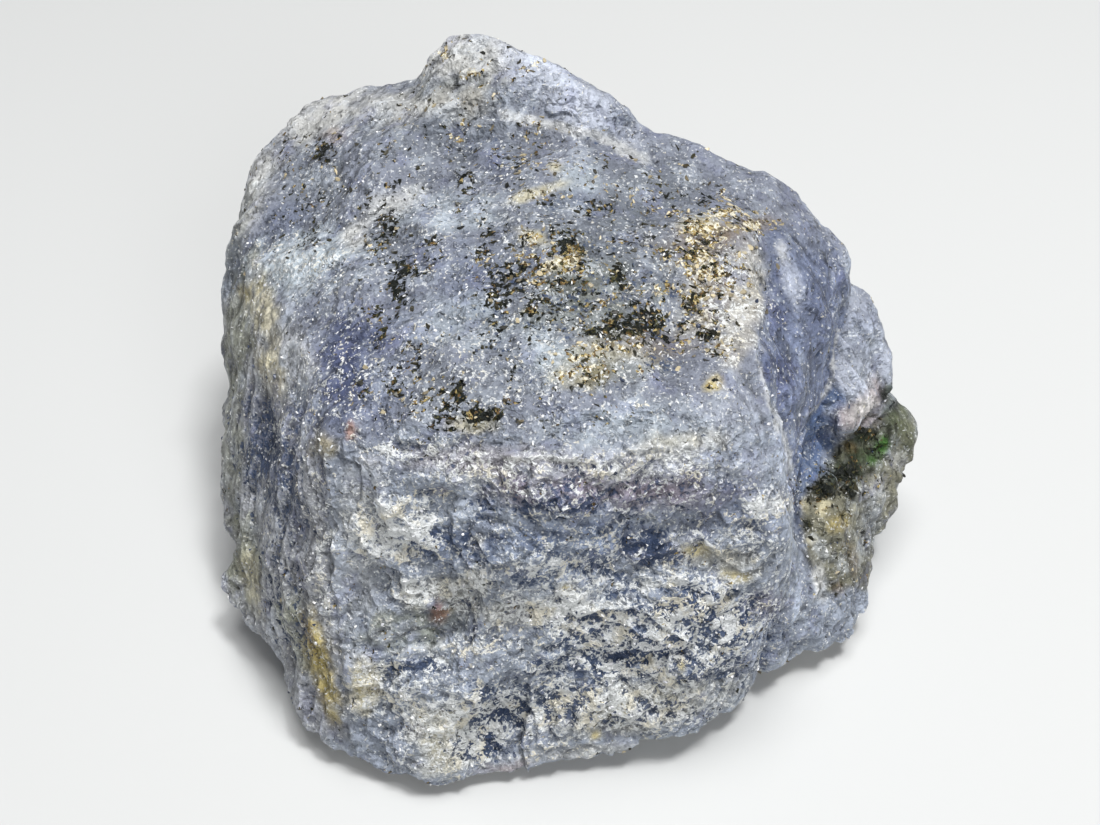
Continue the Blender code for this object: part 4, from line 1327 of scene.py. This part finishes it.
@dataclass
class Chips:
    """Many small grains set in the stone's surface, thick where a cover is marked on it."""

    name: str
    cover: Cover
    finish: ChipFinish
    shape: Shape
    per_mm2: float
    length_mm: Span
    width: Span
    thick: Span
    tilt: float
    jag_mm: float
    seed: int
    sink_mm: float = 0.0

    def tree(self) -> bpy.types.NodeTree:
        """Builds the Geometry Nodes tree that scatters the grains.

        Returns:
            The tree, with the skin and the grains' sizes as its inputs.
        """
        tree = bpy.data.node_groups.new(self.name, "GeometryNodeTree")
        face = tree.interface
        face.new_socket("Skin", in_out="INPUT", socket_type="NodeSocketGeometry")
        for label in ("Per square metre", "Shortest", "Longest", "Sink", "Jag"):
            face.new_socket(label, in_out="INPUT", socket_type="NodeSocketFloat")
        face.new_socket("Finish", in_out="INPUT", socket_type="NodeSocketMaterial")
        face.new_socket("Chips", in_out="OUTPUT", socket_type="NodeSocketGeometry")

        def add(kind: str, settings: dict | None = None, values: dict | None = None) -> bpy.types.Node:
            """Adds a node.

            Args:
                kind: the node's type.
                settings: what is set on the node itself, first.
                values: numbers or other nodes' sockets for its own, by name or place.

            Returns:
                The node.
            """
            made = tree.nodes.new(kind)
            for key, value in (settings or {}).items():
                setattr(made, key, value)
            for key, value in (values or {}).items():
                if isinstance(value, bpy.types.NodeSocket):
                    tree.links.new(value, made.inputs[key])
                else:
                    made.inputs[key].default_value = value
            return made

        def pick(kind: str, low: object, high: object, seed: int) -> bpy.types.NodeSocket:
            """Picks a number or vector for each point.

            Args:
                kind: the type of value.
                low, high: the values that it lies between.
                seed: which draw it is.

            Returns:
                The socket that gives it.
            """
            made = add("FunctionNodeRandomValue", {"data_type": kind})
            live = [s for s in made.inputs if s.enabled]
            for slot, value in zip(live, (low, high)):
                if isinstance(value, bpy.types.NodeSocket):
                    tree.links.new(value, slot)
                else:
                    slot.default_value = value
            next(s for s in made.inputs if s.name == "Seed").default_value = seed
            return next(s for s in made.outputs if s.enabled)

        given = add("NodeGroupInput").outputs
        marked = add("GeometryNodeInputNamedAttribute", {"data_type": "FLOAT"}, {"Name": self.cover.value})
        many = add("ShaderNodeMath", {"operation": "MULTIPLY"},
                   {0: marked.outputs["Attribute"], 1: given["Per square metre"]})
        points = add("GeometryNodeDistributePointsOnFaces", {"distribute_method": "RANDOM"},
                     {"Mesh": given["Skin"], "Density": many.outputs[0], "Seed": self.seed})
        most = (self.tilt, self.tilt, math.pi)
        lean = pick("FLOAT_VECTOR", tuple(-angle for angle in most), most, self.seed + 1)
        turn = add("FunctionNodeEulerToRotation", None, {"Euler": lean})
        turned = add("FunctionNodeRotateRotation", {"rotation_space": "LOCAL"},
                     {"Rotation": points.outputs["Rotation"], "Rotate By": turn.outputs["Rotation"]})
        long = pick("FLOAT", given["Shortest"], given["Longest"], self.seed + 2)
        form = pick("FLOAT_VECTOR", (1.0, self.width[0], self.thick[0]), (1.0, self.width[1], self.thick[1]),
                    self.seed + 3)
        scale = add("ShaderNodeVectorMath", {"operation": "SCALE"}, {0: form, "Scale": long})
        if self.shape is Shape.PLATE:
            chip = add(self.shape.value, {"fill_type": "NGON"}, {"Vertices": 6, "Radius": 0.5, "Depth": 1.0})
        else:
            chip = add(self.shape.value, None, {"Radius": 0.5, "Subdivisions": 1})
        placed = add("GeometryNodeInstanceOnPoints", None,
                     {"Points": points.outputs["Points"], "Instance": chip.outputs["Mesh"],
                      "Rotation": turned.outputs["Rotation"], "Scale": scale.outputs["Vector"]})
        down = add("ShaderNodeCombineXYZ", None, {"Z": given["Sink"]})
        sunk = add("GeometryNodeTranslateInstances", None,
                   {"Instances": placed.outputs["Instances"], "Translation": down.outputs["Vector"]})
        toned = add("GeometryNodeStoreNamedAttribute", {"data_type": "FLOAT", "domain": "INSTANCE"},
                    {"Geometry": sunk.outputs["Instances"], "Name": "tone",
                     "Value": pick("FLOAT", 0.0, 1.0, self.seed + 4)})
        real = add("GeometryNodeRealizeInstances", None, {"Geometry": toned.outputs["Geometry"]})
        shake = add("ShaderNodeVectorMath", {"operation": "SCALE"},
                    {0: pick("FLOAT_VECTOR", (-1.0,) * 3, (1.0,) * 3, self.seed + 5), "Scale": given["Jag"]})
        ragged = add("GeometryNodeSetPosition", None,
                     {"Geometry": real.outputs["Geometry"], "Offset": shake.outputs["Vector"]})
        dressed = add("GeometryNodeSetMaterial", None,
                      {"Geometry": ragged.outputs["Geometry"], "Material": given["Finish"]})
        add("NodeGroupOutput", None, {"Chips": dressed.outputs["Geometry"]})
        return tree

    def build(self, skin: bpy.types.Object) -> bpy.types.Object:
        """Scatters the grains over the skin.

        Args:
            skin: the stone's skin, with the covers written on it.

        Returns:
            The grains as one plain mesh.
        """
        tree, material = self.tree(), self.finish.material()
        chips = bpy.data.objects.new(self.name, skin.data.copy())
        bpy.context.scene.collection.objects.link(chips)
        grow = chips.modifiers.new("grow", "NODES")
        grow.node_group = tree
        values = {
            "Per square metre": self.per_mm2 / MM**2,
            "Shortest": self.length_mm[0] * MM,
            "Longest": self.length_mm[1] * MM,
            "Sink": -self.sink_mm * MM,
            "Jag": self.jag_mm * MM,
            "Finish": material,
        }
        for item in tree.interface.items_tree:
            if item.in_out == "INPUT" and item.name in values:
                grow[item.identifier] = values[item.name]
        settle(chips)
        write(chips.data, keep_in(read(chips.data, "co")))
        LOG.info("%s: %d faces", self.name, len(chips.data.polygons))
        return chips


@dataclass(frozen=True)
class Lamp:
    """A square soft lamp: where it hangs, how wide it is and how many watts it has."""

    name: str
    place: tuple[float, float, float]
    size: float
    power: float


@dataclass(frozen=True)
class Studio:
    """A plain pale floor and soft light."""

    floor_half: float = 1.5
    floor_drop: float = 2e-5
    floor_shade: Colour = (0.60, 0.607, 0.603, 1.0)
    floor_roughness: float = 0.9
    sky: Colour = (0.97, 0.985, 1.0, 1.0)
    sky_strength: float = 0.09
    aim: tuple[float, float, float] = (0.0, 0.0, 0.015)
    lamps: tuple[Lamp, ...] = (
        Lamp("key", (0.10, -0.03, 0.45), 0.08, 1.26),
        Lamp("overhead", (0.01, 0.01, 0.60), 0.26, 2.26),
        Lamp("fill", (0.17, -0.43, 0.34), 0.30, 1.20),
    )

    def build(self) -> None:
        """Lays the floor, hangs the lamps and sets the room's light."""
        half, level = self.floor_half, -self.floor_drop
        mesh = bpy.data.meshes.new("floor")
        mesh.from_pydata([(-half, -half, level), (half, -half, level), (half, half, level), (-half, half, level)],
                         [], [(0, 1, 2, 3)])
        floor = bpy.data.objects.new("floor", mesh)
        bpy.context.scene.collection.objects.link(floor)
        finish = {"Base Color": self.floor_shade, "Roughness": self.floor_roughness}
        mesh.materials.append(Bench("floor").shade(finish))
        for lamp in self.lamps:
            self.hang(lamp)
        world = bpy.data.worlds.new("soft_room")
        bpy.context.scene.world = world
        world.use_nodes = True
        sky = world.node_tree.nodes["Background"]
        sky.inputs["Color"].default_value = self.sky
        sky.inputs["Strength"].default_value = self.sky_strength
        bpy.context.scene.view_settings.view_transform = "Standard"

    def hang(self, lamp: Lamp) -> None:
        """Hangs a lamp and points it at the stone.

        Args:
            lamp: the lamp.
        """
        data = bpy.data.lights.new(lamp.name, "AREA")
        data.size, data.energy = lamp.size, lamp.power
        hung = bpy.data.objects.new(lamp.name, data)
        bpy.context.scene.collection.objects.link(hung)
        hung.location = lamp.place
        hung.rotation_mode = "QUATERNION"
        hung.rotation_quaternion = (Vector(self.aim) - Vector(lamp.place)).to_track_quat("-Z", "Y")


BLACK_MICA = ChipFinish("black_mica", (0.006, 0.007, 0.006), (0.04, 0.036, 0.018), 0.35)
GOLD_MICA = ChipFinish("gold_mica", (0.03, 0.022, 0.010), (0.66, 0.57, 0.38), 0.38)
FROST_SUGAR = ChipFinish("frost_sugar", (0.50, 0.51, 0.55), (0.88, 0.88, 0.86), 0.28)
DARK_SUGAR = ChipFinish("dark_sugar", (0.03, 0.04, 0.07), (0.10, 0.12, 0.18), 0.35)
# white flakes whose colour is a painted glint
PAINTED_GLINTS = ChipFinish("glints", (0.62, 0.64, 0.68), (0.92, 0.92, 0.90), 0.25)

CHIPS = (
    Chips("black_mica", Cover.BLACK_MICA, BLACK_MICA, Shape.PLATE, per_mm2=1.5, length_mm=(0.16, 0.64),
          width=(0.25, 0.6), thick=(0.12, 0.25), tilt=0.6, jag_mm=0.07, seed=11),
    Chips("gold_mica", Cover.GOLD_MICA, GOLD_MICA, Shape.PLATE, per_mm2=1.9, length_mm=(0.14, 0.60),
          width=(0.25, 0.6), thick=(0.15, 0.3), tilt=0.7, jag_mm=0.06, seed=23),
    # small plates painted white as glints: a painted highlight
    Chips("glints", Cover.PAINTED_GLINTS, PAINTED_GLINTS, Shape.PLATE, per_mm2=2.0, length_mm=(0.10, 0.30),
          width=(0.2, 0.45), thick=(0.2, 0.4), tilt=0.8, jag_mm=0.02, seed=53),
    Chips("frost_sugar", Cover.FROST, FROST_SUGAR, Shape.CRYSTAL, per_mm2=2.0, length_mm=(0.10, 0.34),
          width=(0.4, 0.9), thick=(0.3, 0.8), tilt=1.2, jag_mm=0.05, seed=37, sink_mm=0.06),
    Chips("dark_sugar", Cover.DARK, DARK_SUGAR, Shape.CRYSTAL, per_mm2=0.8, length_mm=(0.15, 0.42),
          width=(0.5, 1.0), thick=(0.3, 0.8), tilt=1.2, jag_mm=0.05, seed=41, sink_mm=0.06),
)


def main() -> None:
    """Builds the stone, its grains and the studio, in that order."""
    logging.basicConfig(level=logging.INFO, format="%(message)s")
    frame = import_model()
    camera = PhotoCamera()
    camera.build()
    Studio().build()
    skin = StoneSkin(camera).build(frame["nodes"][NODE])
    skin.data.materials.clear()
    skin.data.materials.append(StoneFinish().material())
    pieces = [skin] + [chips.build(skin) for chips in CHIPS]
    for piece in pieces:
        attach(piece, BODY)
        LOG.info("%s rides on %s", piece.name, BODY)
    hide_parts(NODE)


if __name__ == "__main__":
    main()
